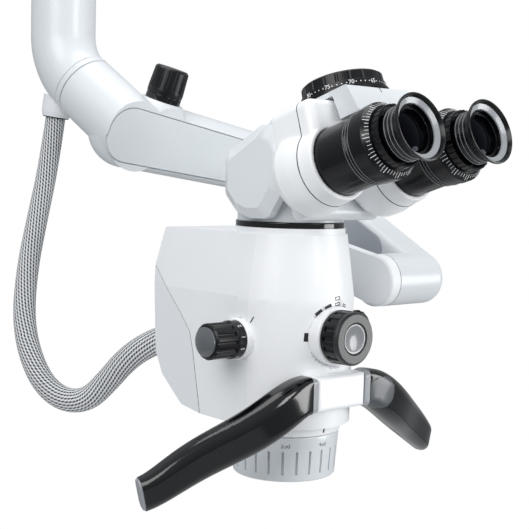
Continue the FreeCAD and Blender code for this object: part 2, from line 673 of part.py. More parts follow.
def light_knob():
    """Front knob with its white base collar, skirt, face ring and concave cap."""
    front = FRONT_KNOB_Y
    base = FRONT_COLLAR_Y
    seat = NOSE_R - FRONT_COLLAR_SINK
    shaft_end = seat - 10.0
    face = front - FRONT_FACE_DEPTH
    keep("light_collar", turned([(FRONT_SHAFT_R + RUN, seat), (FRONT_COLLAR_R, seat),
                                 (FRONT_COLLAR_R, base - 1.5), (FRONT_COLLAR_R - 1.5, base),
                                 (FRONT_SHAFT_R + RUN, base)], LIGHT))
    skirt = turned([(0, shaft_end), (FRONT_SHAFT_R, shaft_end), (FRONT_SHAFT_R, base + GAP),
                    (FRONT_KNOB_R, base + GAP), (FRONT_KNOB_R, face), (0, face)], LIGHT)
    skirt = ribbed(skirt, LIGHT, FRONT_KNOB_R + 1.0, 2.0, FRONT_RIBS, base + 2.4, front)
    keep("light_knob", skirt)
    keep("light_knob_face", turned([(FRONT_CAP_R, face), (FRONT_KNOB_R - 0.1, face),
                                    (FRONT_KNOB_R - 0.1, front - 1.4), (FRONT_KNOB_R - 1.5, front),
                                    (FRONT_CAP_R + 1.0, front), (FRONT_CAP_R, front - 1.0)], LIGHT))
    cap = rod(FRONT_CAP_R, face, front - FRONT_CAP_INSET, LIGHT)
    ball = V(0, 0, front - FRONT_CAP_INSET + FRONT_HOLLOW_R - FRONT_HOLLOW_DEPTH)
    hollow = placed(Part.makeSphere(FRONT_HOLLOW_R, ball), LIGHT)
    keep("light_knob_cap", cap.cut(hollow))


def objective():
    """White collar, focusing ring with slots, moving lens cell and front lens."""
    place = FreeCAD.Placement()
    keep("dovetail_ring", turned([(PATH_R, 0.0), (RING_R, 0.0), (RING_R, RING_HEIGHT - 0.6),
                                  (RING_R - 0.6, RING_HEIGHT), (PATH_R, RING_HEIGHT)], place))
    collar = turned([(OBJECTIVE_TUBE_R, BODY_BOTTOM), (COLLAR_R_TOP, BODY_BOTTOM),
                     (COLLAR_R_BOTTOM, COLLAR_Z), (OBJECTIVE_TUBE_R, COLLAR_Z)], place)
    keep("objective_collar", collar)
    bore = OBJECTIVE_TUBE_R + RUN
    ring = turned([(bore, FOCUS_BOTTOM), (FOCUS_R_BOTTOM - 0.8, FOCUS_BOTTOM),
                   (FOCUS_R_BOTTOM, FOCUS_BOTTOM + 0.8), (FOCUS_R_TOP, FOCUS_TOP - 2.0),
                   (FOCUS_R_TOP - 0.6, FOCUS_TOP), (bore, FOCUS_TOP)], place)
    slots = []
    for i in range(FOCUS_SLOTS):
        angle = 360.0 * i / FOCUS_SLOTS
        slot = block(FOCUS_R_BOTTOM - 1.0, FOCUS_R_TOP + 2, -SLOT_HALF, SLOT_HALF,
                     FOCUS_BOTTOM + SLOT_START, FOCUS_BOTTOM + SLOT_START + SLOT_LENGTH)
        slot.rotate(V(0, 0, 0), Z_AXIS, angle)
        slots.append(slot)
    keep("focus_ring", ring.cut(slots))
    keep("lens_cell", sleeve(CELL_R, LENS_R, FOCUS_BOTTOM + 5.0, CELL_TOP, place))
    keep("objective_lens", lens(LENS_R - RUN, 5.0, 3.0, frame(V(0, 0, FOCUS_BOTTOM + 16.0), V(0, 0, -1))))
    tube = sleeve(OBJECTIVE_TUBE_R, CELL_R + RUN, FOCUS_BOTTOM + 2.0, BODY_BOTTOM + TUBE_SINK, place)
    keep("objective_tube", tube)


def handles():
    """Bracket block, grey end collars and the two drooping grips."""
    back = BRACKET_FRONT + BRACKET_DEPTH
    bracket = block(-BRACKET_HALF, BRACKET_HALF, BRACKET_FRONT, back, BRACKET_LOW, BRACKET_TOP)
    bracket = softened(bracket, 3.0, lambda m, e: m.y < BRACKET_FRONT + 0.1)
    nose = Part.makeCylinder(NOSE_R + 0.2, 60, V(0, 0, BRACKET_LOW - 10), Z_AXIS)
    keep("handle_bracket", bracket.cut(nose))
    inner = V(BRACKET_HALF, BRACKET_FRONT + HANDLE_ROOT, (BRACKET_TOP + BRACKET_LOW) / 2)
    for side, name in ((-1, "left"), (1, "right")):
        keep("handle_" + name, grip(inner, side))
    keep("handle_collars", Part.makeCompound([end_collar(inner, -1), end_collar(inner, 1)]))


def end_collar(inner, side):
    """Grey plate between bracket block and grip."""
    start = V(side * inner.x, inner.y, inner.z)
    end = start + X_AXIS * (side * HANDLE_COLLAR)
    first = section(frame(start, X_AXIS * side, Y_AXIS), ROOT_DEPTH - 1.0, ROOT_HEIGHT - 2.9, 3.0)
    second = section(frame(end, X_AXIS * side, Y_AXIS), ROOT_DEPTH, ROOT_HEIGHT, 4.0)
    return Part.makeLoft([first, second], True, True)


def grip(inner, side):
    """Drooping grip lofted along its bent centre line."""
    slope = V(1, 0.4, -0.53)
    stations = (
        (V(HANDLE_COLLAR, 0, 0), V(1, 0, 0), ROOT_DEPTH, ROOT_HEIGHT, 4.0),
        (V(18.2, 0.5, -4.1), V(1, 0.0, -0.42), 18.0, 27.0, 7.0),
        (V(35.2, 3.5, -13.6), V(1, 0.3, -0.55), 19.5, 27.5, 8.0),
        (V(58.2, 12.5, -26.1), slope, 18.5, 26.5, 8.0),
        (V(84.2, 23.2, -40.0), slope, 16.5, 24.0, 7.0),
        (V(107.5, 32.5, -53.4), V(1, 0.4, -0.25), 14.0, 21.0, 6.0),
    )
    wires = []
    for offset, direction, depth, height, radius in stations:
        spot = V(side * (inner.x + offset.x), inner.y + offset.y, inner.z + offset.z)
        direction = V(side * direction.x, direction.y, direction.z)
        wires.append(section(frame(spot, direction, Y_AXIS), depth, height, radius))
    return Part.makeLoft(wires, True, False)


def tube_base():
    """Neck of the binocular tube on the dovetail ring, with the lug of the low pivot."""
    neck = Part.makeCylinder(RING_R - 1.0, 40 - RING_HEIGHT, V(0, 0, RING_HEIGHT), Z_AXIS)
    sides = block(-LINK_INNER + GAP, LINK_INNER - GAP, -40, 40, 0, 50)
    shape = side_slab([(-37, 0), (37, 0), (37, 10), (14, 22), (8, 35.6), (-16, 35.6), (-21, 30), (-37, 16)],
                      [0, 0, 3.0, 8.0, 10.0, 8.0, 6.0, 2.0])
    front = placed(block(-40, 40, -40, 80, NECK_FRONT, 120), frame(V(0, 0, 0), EYE_DIR))
    neck = neck.common(sides).common(shape).cut(front)
    neck = neck.cut([rod(PIVOT_R + RUN, -50, 50, LOW), Part.makeCylinder(24.0, 18, V(0, 0, 0), Z_AXIS)])
    keep("tube_base", neck)
    keep("low_pivot_shaft", rod(PIVOT_R, -LINK_OUTER + 1.5, LINK_OUTER - 1.5, LOW))


def link_plate(side):
    """Faceted side link between the two pivots."""
    corners = [(-12.0, 65.4), (-35.4, 65.4), (-33.0, 24.0), (-20.0, 6.2), (-3.0, 5.8), (10.0, 9.8),
               (21.5, 21.0), (22.0, 46.5)]
    radii = [6.0, 15.0, 8.0, 8.0, 8.0, 6.0, 6.0, 8.0]
    shoulder = LINK_OUTER - LINK_FACET
    middle = V(0, sum(y for y, z in corners) / len(corners), sum(z for y, z in corners) / len(corners))
    rims = []
    for x, share in ((LINK_INNER, 1.0), (shoulder, 1.0), (LINK_OUTER, LINK_FACE_SHARE)):
        flat = [V(side * x, middle.y + (y - middle.y) * share, middle.z + (z - middle.z) * share) for y, z in corners]
        rims.append(rounded_outline(flat, [r * share for r in radii]))
    plate = Part.makeLoft(rims[:2], True, True).fuse(Part.makeLoft(rims[1:], True, True)).removeSplitter()
    reach = LINK_OUTER - 1.5
    bores = [rod(PIVOT_R, -reach, reach, LOW), rod(PIVOT_R, -reach, reach, HIGH)]
    return plate.cut(bores)


def eye_point(x, along, up):
    """Head coordinates of a point given along the eye line and square to it."""
    return V(x, 0, 0) + EYE_DIR * along + EYE_UP * up


def binocular_body():
    """Body between the links: rear block, roof over the sliding oculars and front block."""
    def slab(corners, radii, half):
        flat = [eye_point(-half, a, u) for a, u in corners]
        return prism(flat, radii, V(2 * half, 0, 0))
    rear_outline = [(49.8, -7.5), (49.8, 61.0), (36.0, 61.0), (20.0, 54.0), (22.5, 33.0), (38.0, 22.0),
                    (38.0, -7.5)]
    rear = slab(rear_outline, [5.5, 0, 6.0, 8.0, 8.0, 5.0, 5.5], LINK_INNER - GAP)
    roof_outline = [(40.0, 59.3), (98.3, 59.3), (97.0, DIAL_UP), (40.0, DIAL_UP)]
    roof = slab(roof_outline, [0, 0, 0, 0], ROOF_HALF)
    front_outline = [(85.4, 60.0), (88.2, 43.6), (104.4, 43.6), (98.3, DIAL_UP)]
    front = slab(front_outline, [0, 0, 1.0, 1.5], ROOF_HALF)
    body = rear.fuse([roof, front]).removeSplitter()
    dial_place = frame(eye_point(0, DIAL_ALONG, DIAL_UP), EYE_UP)
    cuts = [rod(PIVOT_R + RUN, -50, 50, HIGH), rod(DIAL_PIN_R + RUN, -10, 5, dial_place)]
    for side in (-1, 1):
        path = frame(eye_point(side * PRISM_X, 60.0, 18.0), EYE_DIR * -1)
        cuts.append(rod(PRISM_HALF * 1.5, 0, 40, path))
    keep("binocular_body", body.cut(cuts))
    prism_form = block(-PRISM_HALF, PRISM_HALF, -PRISM_HALF, PRISM_HALF, 0, 9.0)
    prisms = [placed(prism_form, frame(eye_point(side * PRISM_X, 39.0, 18.0), EYE_DIR)) for side in (-1, 1)]
    keep("prisms", Part.makeCompound(prisms))
    keep("high_pivot_shaft", rod(PIVOT_R, -LINK_OUTER + 1.5, LINK_OUTER - 1.5, HIGH))


def pd_dial():
    """Dial knob for the eye distance, with its flange and hub pin."""
    place = frame(eye_point(0, DIAL_ALONG, DIAL_UP), EYE_UP)
    dial = turned([(0, -2.8), (DIAL_PIN_R, -2.8), (DIAL_PIN_R, GAP), (DIAL_FLANGE_R, GAP),
                   (DIAL_FLANGE_R, 2.2), (DIAL_KNOB_R, 3.8), (DIAL_KNOB_R - 0.4, DIAL_HEIGHT - 1.2),
                   (DIAL_KNOB_R - 2.0, DIAL_HEIGHT), (0, DIAL_HEIGHT)], place)
    dial = ribbed(dial, place, DIAL_KNOB_R + 0.6, 1.5, DIAL_RIBS, 4.6, DIAL_HEIGHT + 2)
    keep("eye_distance_dial", dial)


def ocular_frame(side):
    """Frame at the rim of one eyecup, local Z pointing back into the tube."""
    return frame(V(side * EYE_GAP / 2, RIM_Y, RIM_Z), EYE_DIR * -1, X_AXIS)


def oculars():
    """Housing, eyepiece, dioptre ring, eyecup and eye lens of each ocular."""
    for side, name in ((-1, "left"), (1, "right")):
        place = ocular_frame(side)
        keep("ocular_housing_" + name, ocular_housing(side, place))
        keep("eyepiece_" + name, eyepiece(place))
        keep("diopter_ring_" + name, diopter_ring(place))
        keep("eyecup_" + name, eyecup(place))
        keep("eye_lens_" + name, lens(EYE_BORE_R - RUN, 3.0, 2.0, placed_frame(place, EYE_LENS_AT)))


def placed_frame(place, depth):
    """The same frame moved along its Z and turned to look out of the eyepiece."""
    origin = place.multVec(V(0, 0, depth))
    outward = place.Rotation.multVec(V(0, 0, -1))
    return frame(origin, outward)


def ocular_housing(side, place):
    """White housing with a raised neck that slides under the roof."""
    drum = turned([(0, DRUM_START), (23.4, DRUM_START), (24.2, DRUM_START + 0.8), (24.6, 74.0),
                   (27.0, 86.0), (27.0, 95.0), (24.5, 100.0), (0, 100.0)], place)
    outline = ((50.4, 18.0), (84.4, 18.0), (84.4, 58.6), (50.4, 58.6))
    foot = [eye_point(side * EYE_GAP / 2 - OCULAR_HALF, along, up) for along, up in outline]
    neck = prism(foot, [0, 0, 5.0, 0], V(2 * OCULAR_HALF, 0, 0))
    def top_edge(middle, edge):
        return middle.dot(EYE_UP) > 58.0 and abs(edge.tangentAt(edge.FirstParameter).x) < 0.5
    neck = softened(neck, 6.0, top_edge)
    bores = [rod(EYE_SLEEVE_R + RUN, DRUM_START - 1, SLEEVE_END, place), rod(EYE_BORE_R, 70.0, 101.0, place)]
    return drum.fuse(neck).cut(bores)


def eyepiece(place):
    """Black eyepiece barrel with grooves and the inner tube for the eye lens."""
    return turned([(EYE_BORE_R, 7.0), (EYE_NECK_R, 7.0), (EYE_NECK_R, 31.2), (EYE_BARREL_R, 31.2),
                   (EYE_BARREL_R, 37.0), (21.6, 37.6), (22.4, 38.4), (22.4, 39.6), (21.4, 40.2),
                   (22.0, 41.0), (22.0, 42.0), (EYE_SLEEVE_R, 43.0), (EYE_SLEEVE_R, SLEEVE_END),
                   (EYE_BORE_R, SLEEVE_END)], place)


def diopter_ring(place):
    """Turning ring: a knurled sleeve round the eyecup's neck on a bevelled ring for the tick scale."""
    bore = EYE_NECK_R + RUN
    knurled = sleeve(KNURL_R, KNURL_BORE_R, KNURL_START, KNURL_END, place)
    knurled = ribbed(knurled, place, KNURL_R + 0.4, 0.9, KNURLS, KNURL_START - 1, KNURL_END - 0.8)
    scale = turned([(bore, KNURL_END), (20.2, KNURL_END), (SCALE_R, 26.0), (SCALE_R, 30.9),
                    (bore, 30.9)], place)
    return Part.makeCompound([knurled, scale])


def eyecup(place):
    """Flared rubber cup on a sliding neck with three raised rings."""
    bore = EYE_NECK_R + 0.3
    neck = CUP_NECK_R
    cup = turned([(17.8, 4.2), (CUP_R - 0.8, 0.0), (CUP_R, 0.3), (CUP_R, 1.6), (17.4, 5.4), (neck, CUP_END),
                  (bore, CUP_END), (bore, 5.0)], place)
    profile = [(bore, CUP_END), (neck, CUP_END)]
    for height in (8.5, 11.4, 14.2):
        profile += [(neck, height - 0.4), (CUP_BEAD_R, height), (neck, height + 0.7)]
    profile += [(neck, CUP_NECK_END), (bore, CUP_NECK_END)]
    return Part.makeCompound([cup, turned(profile, place)])


def cable():
    """Gland under the elbow and the two halves of the hose."""
    gland = frame(GLAND, HOSE[1] - HOSE[0])
    sleeve_form = turned([(0, -GLAND_LENGTH), (GLAND_R, -GLAND_LENGTH), (GLAND_R, -4.0),
                          (GLAND_R - 1.2, 0.0), (0, 0.0)], gland)
    keep("cable_gland", sleeve_form.cut([tube_outer(), rod(ROLL_RING_R, ELBOW_END, ROLL_RING_END, ROLL)]))
    keep("hose_upper", hose_tube(HOSE[:5] + [HOSE_MIDDLE]))
    keep("hose_lower", hose_tube([HOSE_MIDDLE] + HOSE[5:]))


def hose_tube(points):
    """Tube of straight runs and tangent arcs through the route's points."""
    edges = []
    last = points[0]
    for i in range(1, len(points) - 1):
        before = points[i] - points[i - 1]
        after = points[i + 1] - points[i]
        turn = before.getAngle(after)
        reach = 0.45 * min(before.Length, after.Length)
        radius = reach / math.tan(turn / 2)
        start = points[i] - unit(before) * reach
        end = points[i] + unit(after) * reach
        inward = unit(unit(after) - unit(before))
        centre = points[i] + inward * math.hypot(reach, radius)
        middle = centre - inward * radius
        edges.append(Part.LineSegment(last, start).toShape())
        edges.append(Part.Arc(start, middle, end).toShape())
        last = end
        print("hose radius", round(radius, 1), "run", round(before.Length, 1))
    edges.append(Part.LineSegment(last, points[-1]).toShape())
    path = Part.Wire(edges)
    circle = Part.Wire(Part.makeCircle(HOSE_D / 2, points[0], points[1] - points[0]))
    tube = path.makePipeShell([circle], True, False)
    print("hose length", round(path.Length, 1), "volume share",
          round(tube.Volume / (path.Length * math.pi * HOSE_D ** 2 / 4), 4))
    return tube


def export_all():
    """Write every node, moved so that the top spigot's shoulder is the origin."""
    os.makedirs("parts", exist_ok=True)
    shift = V(-TUBE_X, -TUBE_Y, -TUBE_TOP)
    for name, shape in SHAPES.items():
        moved = shape.copy()
        moved.translate(shift)
        moved.exportStep("parts/" + name + ".step")


keep("down_tube", down_tube())
roll_joint()
arm()
friction_knob()
tilt_bracket()
housings()
optics_inside()
magnification_knobs()
light_knob()
objective()
handles()
tube_base()
keep("link_left", link_plate(-1))
keep("link_right", link_plate(1))
binocular_body()
pd_dial()
oculars()
cable()
export_all()
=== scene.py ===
"""Surgical microscope head on its carrier arm: finishes, fine pieces, hose, studio and camera."""

import logging
import math
from dataclasses import dataclass, field
from enum import Enum
from typing import Sequence

import bpy
from mathutils import Matrix, Vector
from mathutils.bvhtree import BVHTree


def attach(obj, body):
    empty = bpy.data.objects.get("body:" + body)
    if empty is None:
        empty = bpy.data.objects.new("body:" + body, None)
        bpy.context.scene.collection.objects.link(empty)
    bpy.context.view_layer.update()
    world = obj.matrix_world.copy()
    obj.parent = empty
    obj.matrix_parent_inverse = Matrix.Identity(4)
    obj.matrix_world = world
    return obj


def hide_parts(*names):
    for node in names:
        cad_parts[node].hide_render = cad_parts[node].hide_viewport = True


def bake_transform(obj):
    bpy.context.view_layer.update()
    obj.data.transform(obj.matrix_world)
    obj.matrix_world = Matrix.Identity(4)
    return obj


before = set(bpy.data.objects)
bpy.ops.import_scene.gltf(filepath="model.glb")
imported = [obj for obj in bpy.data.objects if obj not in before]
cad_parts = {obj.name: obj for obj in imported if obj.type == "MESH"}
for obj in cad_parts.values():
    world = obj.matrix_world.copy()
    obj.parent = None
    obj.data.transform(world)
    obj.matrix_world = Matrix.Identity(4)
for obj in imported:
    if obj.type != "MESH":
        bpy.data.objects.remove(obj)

LOG = logging.getLogger("microscope")
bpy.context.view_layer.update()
MM = 0.001
ORIGIN = Vector((58.0, -190.0, -190.0))
EYE_TILT = math.radians(18.0)
EYE_DIR = Vector((0.0, -math.cos(EYE_TILT), math.sin(EYE_TILT)))
EYE_UP = Vector((0.0, math.sin(EYE_TILT), math.cos(EYE_TILT)))
EYE_HALF = 32.0
EYE_RIM_YZ = (-137.5, 63.6)
ELBOW = Vector((-58.0, 190.0, 111.0))
TILT_CENTRE = Vector((0.0, -12.0, -38.6))
ROLL_DIR = (TILT_CENTRE + Vector((-6.4, 0.0, 0.0)) - ELBOW).normalized()
MERGE_M = 2e-6
COAT_ROUGHNESS = 0.08
INK_MM = 0.12
X_DIR, Y_DIR, Z_DIR = Vector((1.0, 0.0, 0.0)), Vector((0.0, 1.0, 0.0)), Vector((0.0, 0.0, 1.0))


def head_point(x: float, y: float, z: float) -> Vector:
    """Point given in millimetres from the dovetail ring's centre, as metres in the frame."""
    return (Vector((x, y, z)) + ORIGIN) * MM


def rim_point(side: int) -> Vector:
    """Middle of an eyecup's rim in millimetres, minus one for the left eye and one for the right."""
    return Vector((side * EYE_HALF, *EYE_RIM_YZ))


def place(origin: Vector, z_dir: Vector, x_dir: Vector = X_DIR) -> Matrix:
    """Local frame in metres whose Z points along z_dir and whose X leans to x_dir.

    Args:
        origin: Origin in millimetres from the dovetail ring's centre.
        z_dir: Direction of local Z.
        x_dir: Direction that local X leans to.

    Returns:
        Matrix from local metres to the frame.
    """
    z_axis = z_dir.normalized()
    x_axis = (x_dir - z_axis * z_axis.dot(x_dir)).normalized()
    return axes_matrix(x_axis, z_axis.cross(x_axis), z_axis, head_point(*origin))


def axes_matrix(x_axis: Vector, y_axis: Vector, z_axis: Vector, spot: Vector) -> Matrix:
    """Frame with three unit axes at a point in metres."""
    rows = [(x_axis[i], y_axis[i], z_axis[i], spot[i]) for i in range(3)]
    return Matrix((*rows, (0.0, 0.0, 0.0, 1.0)))


def linear(code: str) -> tuple[float, float, float, float]:
    """Linear colour of an sRGB hex code such as "E8EAEC"."""
    parts = [int(code[i:i + 2], 16) / 255.0 for i in (0, 2, 4)]
    values = [c / 12.92 if c <= 0.04045 else ((c + 0.055) / 1.055) ** 2.4 for c in parts]
    return (values[0], values[1], values[2], 1.0)


def deselect() -> None:
    """Leave edit mode and select nothing."""
    if bpy.context.mode != "OBJECT":
        bpy.ops.object.mode_set(mode="OBJECT")
    bpy.ops.object.select_all(action="DESELECT")


def activate(piece: bpy.types.Object) -> None:
    """Select one object alone and make it active."""
    deselect()
    piece.select_set(True)
    bpy.context.view_layer.objects.active = piece


def add_node(tree: bpy.types.NodeTree, kind: str, settings: dict | None = None,
             inputs: dict | None = None) -> bpy.types.Node:
    """Add a shader node with its settings, values and links.

    Args:
        tree: Node tree that takes the node.
        kind: Blender's name of the node type.
        settings: Node attributes by name.
        inputs: Values or output sockets by input name or index.

    Returns:
        The new node.
    """
    node = tree.nodes.new(kind)
    for name, value in (settings or {}).items():
        setattr(node, name, value)
    for name, value in (inputs or {}).items():
        if isinstance(value, bpy.types.NodeSocket):
            tree.links.new(value, node.inputs[name])
        else:
            node.inputs[name].default_value = value
    return node


@dataclass(frozen=True)
class Finish:
    """A surface finish: one procedural material with an even base and a fine grain.

    Attributes:
        name: Common name of the material and how its surface was made.
        colour: Base colour as an sRGB hex code.
        shade: Second colour of the slow tone variation.
        roughness: Mean roughness.
        metallic: One for bare metal.
        grain_mm: Size of the surface grain in millimetres.
        grain_depth: Strength of the grain's bump.
        coat: Clear coat weight.
        ior: Index of refraction of a non-metal.
    """

    name: str
    colour: str
    shade: str
    roughness: float
    metallic: float = 0.0
    grain_mm: float = 0.6
    grain_depth: float = 0.05
    coat: float = 0.0
    ior: float = 1.5

    def material(self) -> bpy.types.Material:
        """Build the material, or return it if it exists."""
        existing = bpy.data.materials.get(self.name)
        if existing:
            return existing
        material = bpy.data.materials.new(self.name)
        material.use_nodes = True
        tree = material.node_tree
        shader = tree.nodes["Principled BSDF"]
        coords = add_node(tree, "ShaderNodeTexCoord")
        self.surface(tree, shader, coords.outputs["Object"])
        shader.inputs["Metallic"].default_value = self.metallic
        shader.inputs["Coat Weight"].default_value = self.coat
        shader.inputs["Coat Roughness"].default_value = COAT_ROUGHNESS
        if not self.metallic:
            shader.inputs["IOR"].default_value = self.ior
        return material

    def surface(self, tree: bpy.types.NodeTree, shader: bpy.types.Node, coords: bpy.types.NodeSocket) -> None:
        """Slow tone variation, roughness variation and a fine grain bump."""
        slow = add_node(tree, "ShaderNodeTexNoise", inputs={"Vector": coords, "Scale": 18.0, "Detail": 3.0})
        tone = add_node(tree, "ShaderNodeMix", {"data_type": "RGBA"},
                        {"Factor": slow.outputs["Fac"], 6: linear(self.colour), 7: linear(self.shade)})
        tree.links.new(tone.outputs[2], shader.inputs["Base Color"])
        rough = add_node(tree, "ShaderNodeMapRange", inputs={
            "Value": slow.outputs["Fac"], "To Min": self.roughness * 0.88, "To Max": self.roughness * 1.12})
        tree.links.new(rough.outputs["Result"], shader.inputs["Roughness"])
        grain = add_node(tree, "ShaderNodeTexNoise", inputs={
            "Vector": coords, "Scale": 1.0 / (self.grain_mm * MM), "Detail": 2.0})
        bump = add_node(tree, "ShaderNodeBump", inputs={
            "Height": grain.outputs["Fac"], "Strength": self.grain_depth, "Distance": 0.0002})
        tree.links.new(bump.outputs["Normal"], shader.inputs["Normal"])


@dataclass(frozen=True)
class CoatedGlass(Finish):
    """Dark multi-coated lens that mirrors the room in blue and violet."""

    def surface(self, tree: bpy.types.NodeTree, shader: bpy.types.Node, coords: bpy.types.NodeSocket) -> None:
        """Near-black glass whose coating tint follows the angle of view."""
        facing = add_node(tree, "ShaderNodeLayerWeight", inputs={"Blend": 0.35})
        tint = add_node(tree, "ShaderNodeMix", {"data_type": "RGBA"},
                        {"Factor": facing.outputs["Facing"], 6: linear(self.colour), 7: linear(self.shade)})
        tree.links.new(tint.outputs[2], shader.inputs["Base Color"])
        shader.inputs["Roughness"].default_value = self.roughness
        shader.inputs["Specular Tint"].default_value = linear("8E94C8")


@dataclass(frozen=True)
class BraidedSleeve(Finish):
    """Grey textile hose sleeve, braided from yarns that run nearly lengthwise.

    Attributes:
        yarns: Yarns side by side round the hose.
        lay_mm: Length along the hose in which a yarn goes once round it.
        stitch_mm: Length of one stitch of a yarn.
    """

    yarns: int = 22
    lay_mm: float = 420.0
    stitch_mm: float = 2.6

    def wave(self, tree: bpy.types.NodeTree, parts: bpy.types.Node, round_it: float,
             along_mm: float) -> bpy.types.NodeSocket:
        """Sine wave that runs round and along the hose.

        Args:
            tree: Node tree of the material.
            parts: Node that gives the turn round the hose and the length along it.
            round_it: Waves round the hose.
            along_mm: Length of a wave along the hose.

        Returns:
            Socket of the wave.
        """
        run = add_node(tree, "ShaderNodeMath", {"operation": "MULTIPLY"},
                       {0: parts.outputs["Y"], 1: 1.0 / (along_mm * MM)})
        turn = add_node(tree, "ShaderNodeMath", {"operation": "MULTIPLY_ADD"},
                        {0: parts.outputs["X"], 1: round_it, 2: run.outputs[0]})
        phase = add_node(tree, "ShaderNodeMath", {"operation": "MULTIPLY"}, {0: turn.outputs[0], 1: 2.0 * math.pi})
        return add_node(tree, "ShaderNodeMath", {"operation": "SINE"}, {0: phase.outputs[0]}).outputs[0]

    def surface(self, tree: bpy.types.NodeTree, shader: bpy.types.Node, coords: bpy.types.NodeSocket) -> None:
        """Raised yarns with dark gaps, read from the hose's own UV map, each yarn dipping at its stitches."""
        uv = add_node(tree, "ShaderNodeUVMap", {"uv_map": "along"})
        parts = add_node(tree, "ShaderNodeSeparateXYZ", inputs={"Vector": uv.outputs["UV"]})
        yarn = self.wave(tree, parts, self.yarns, self.lay_mm / self.yarns)
        stitch = self.wave(tree, parts, self.yarns / 2, self.stitch_mm)
        woven = add_node(tree, "ShaderNodeMath", {"operation": "MULTIPLY_ADD"}, {0: stitch, 1: 0.55, 2: yarn})
        height = add_node(tree, "ShaderNodeMapRange", {"interpolation_type": "SMOOTHSTEP"}, {
            "Value": woven.outputs[0], "From Min": -1.25, "From Max": 0.55})
        tone = add_node(tree, "ShaderNodeMix", {"data_type": "RGBA"},
                        {"Factor": height.outputs["Result"], 6: linear(self.shade), 7: linear(self.colour)})
        tree.links.new(tone.outputs[2], shader.inputs["Base Color"])
        bump = add_node(tree, "ShaderNodeBump", inputs={
            "Height": height.outputs["Result"], "Strength": self.grain_depth, "Distance": 0.0006})
        tree.links.new(bump.outputs["Normal"], shader.inputs["Normal"])
        shader.inputs["Roughness"].default_value = self.roughness
        shader.inputs["Sheen Weight"].default_value = 0.2


class Finishes:
    """The finishes of this microscope."""

    # Satin enamel on cast aluminium: an even cool white with soft, wide highlights.
    arm_enamel = Finish("satin_enamel_on_aluminium", "DFE3E6", "D8DDE1", 0.32, grain_mm=0.9, grain_depth=0.03,
                        coat=0.15)
    # Structured enamel: a fine leathery grain that breaks up every highlight, drawn coarse enough to show.
    shell = Finish("textured_white_casting", "F4F6F8", "ECEFF2", 0.5, grain_mm=0.8, grain_depth=0.5)
    # Smooth white enamel: the brightest surface, with a clear highlight along its curve.
    nose = Finish("satin_white_enamel", "F8F9FB", "F4F6F8", 0.36, grain_mm=1.2, grain_depth=0.03, coat=0.1)
    # Moulded ABS: white with a faint spark-eroded grain.
    cover = Finish("moulded_white_abs", "EDF0F3", "E6E9ED", 0.45, grain_mm=0.7, grain_depth=0.35)
    # Inset plates: a tone greyer than the casting round them.
    plate = Finish("textured_light_grey_enamel", "DADFE2", "D3D9DC", 0.45, grain_mm=0.7, grain_depth=0.2)
    # Faceted links: enamel whose flats each take one clean tone.
    facet = Finish("satin_grey_enamel", "E4E8EB", "DDE1E5", 0.32, grain_mm=0.9, grain_depth=0.05, coat=0.2)
    # Mid-grey moulded pad: dull, with a soft grain.
    pad = Finish("moulded_grey_abs", "AEB3B9", "A6ABB2", 0.55, grain_mm=0.5, grain_depth=0.3)
    # Light polycarbonate bezels: smooth, with a narrow sheen. Its light grey also paints the highlight rings on the
    # eyecups and barrels and the reflection inside the eyecups.
    bezel = Finish("satin_light_grey_pc", "A0A4A8", "989CA1", 0.25, grain_mm=0.5, grain_depth=0.02, coat=0.3)
    # Polished black polycarbonate: mirror-like streaks on near black.
    black_gloss = Finish("polished_black_pc", "040507", "06070A", 0.1, grain_mm=1.5, grain_depth=0.01, coat=0.2)
    # Black anodising: deep black with a soft metallic band of light.
    black_satin = Finish("black_anodised_aluminium", "07080B", "0A0B0E", 0.22, grain_mm=0.3, grain_depth=0.03,
                         ior=1.42)
    # Moulded black knobs: a duller black whose ribs catch thin lights.
    black_grip = Finish("moulded_black_abs", "08090C", "0B0C10", 0.3, grain_mm=0.3, grain_depth=0.08, ior=1.42)
    # Nitrile eyecups: black with a low, broad sheen. The same black paints the shade in the gland's mouth.
    rubber = Finish("black_nitrile_rubber", "08090B", "0B0C0E", 0.24, grain_mm=0.4, grain_depth=0.03, ior=1.45)
    # Polished grey caps: clear reflections over mid grey.
    grey_cap = Finish("polished_grey_pc", "55585C", "5F6266", 0.18, grain_mm=1.0, grain_depth=0.01, coat=0.8)
    # Satin grey ABS of the grip's inlay, which also paints the grey reflection of the grip's front facet.
    grey_plastic = Finish("satin_grey_abs", "4A4F54", "44494E", 0.3, grain_mm=0.4, grain_depth=0.06, coat=0.2)
    # Dark ring of the light knob's face: nearly matt.
    face_ring = Finish("satin_black_pc", "1D1F21", "232527", 0.42, grain_mm=0.4, grain_depth=0.08, coat=0.3)
    # Silver-grey dish of the light knob: a soft round highlight.
    dish = Finish("satin_silver_grey_pc", "8C8F92", "828588", 0.22, grain_mm=0.4, grain_depth=0.03, coat=0.4)
    # Ground steel shafts: bright metal with a fine scatter.
    steel = Finish("ground_steel", "A9ACB1", "9FA2A7", 0.25, metallic=1.0, grain_mm=0.3, grain_depth=0.03)
    # Sintered bronze bushes: dull brown-gold metal with open pores.
    bronze = Finish("sintered_bronze", "9C7A45", "8E6E3E", 0.4, metallic=1.0, grain_mm=0.3, grain_depth=0.08)
    # Coated lenses: nearly black, with a blue-violet mirror of the lights.
    glass = CoatedGlass("coated_optical_glass", "010102", "05060B", 0.03, ior=1.2)
    # Screen-printed inks: flat, dry colour.
    ink_grey = Finish("grey_scale_ink", "5C6066", "64686E", 0.5)
    ink_white = Finish("white_scale_ink", "F2F3F4", "ECEDEF", 0.5)
    ink_black = Finish("black_scale_ink", "1A1B1D", "202124", 0.5)
    # Painted shade for narrow gaps and seams: matt near black where a gap holds only shade.
    seam = Finish("painted_gap_shade", "1E2023", "24262A", 0.6)
    # Polyester braid: light yarns in fine lengthwise lines with dark gaps.
    braid = BraidedSleeve("grey_polyester_braid", "E9EBED", "34373A", 0.7, grain_depth=1.0)


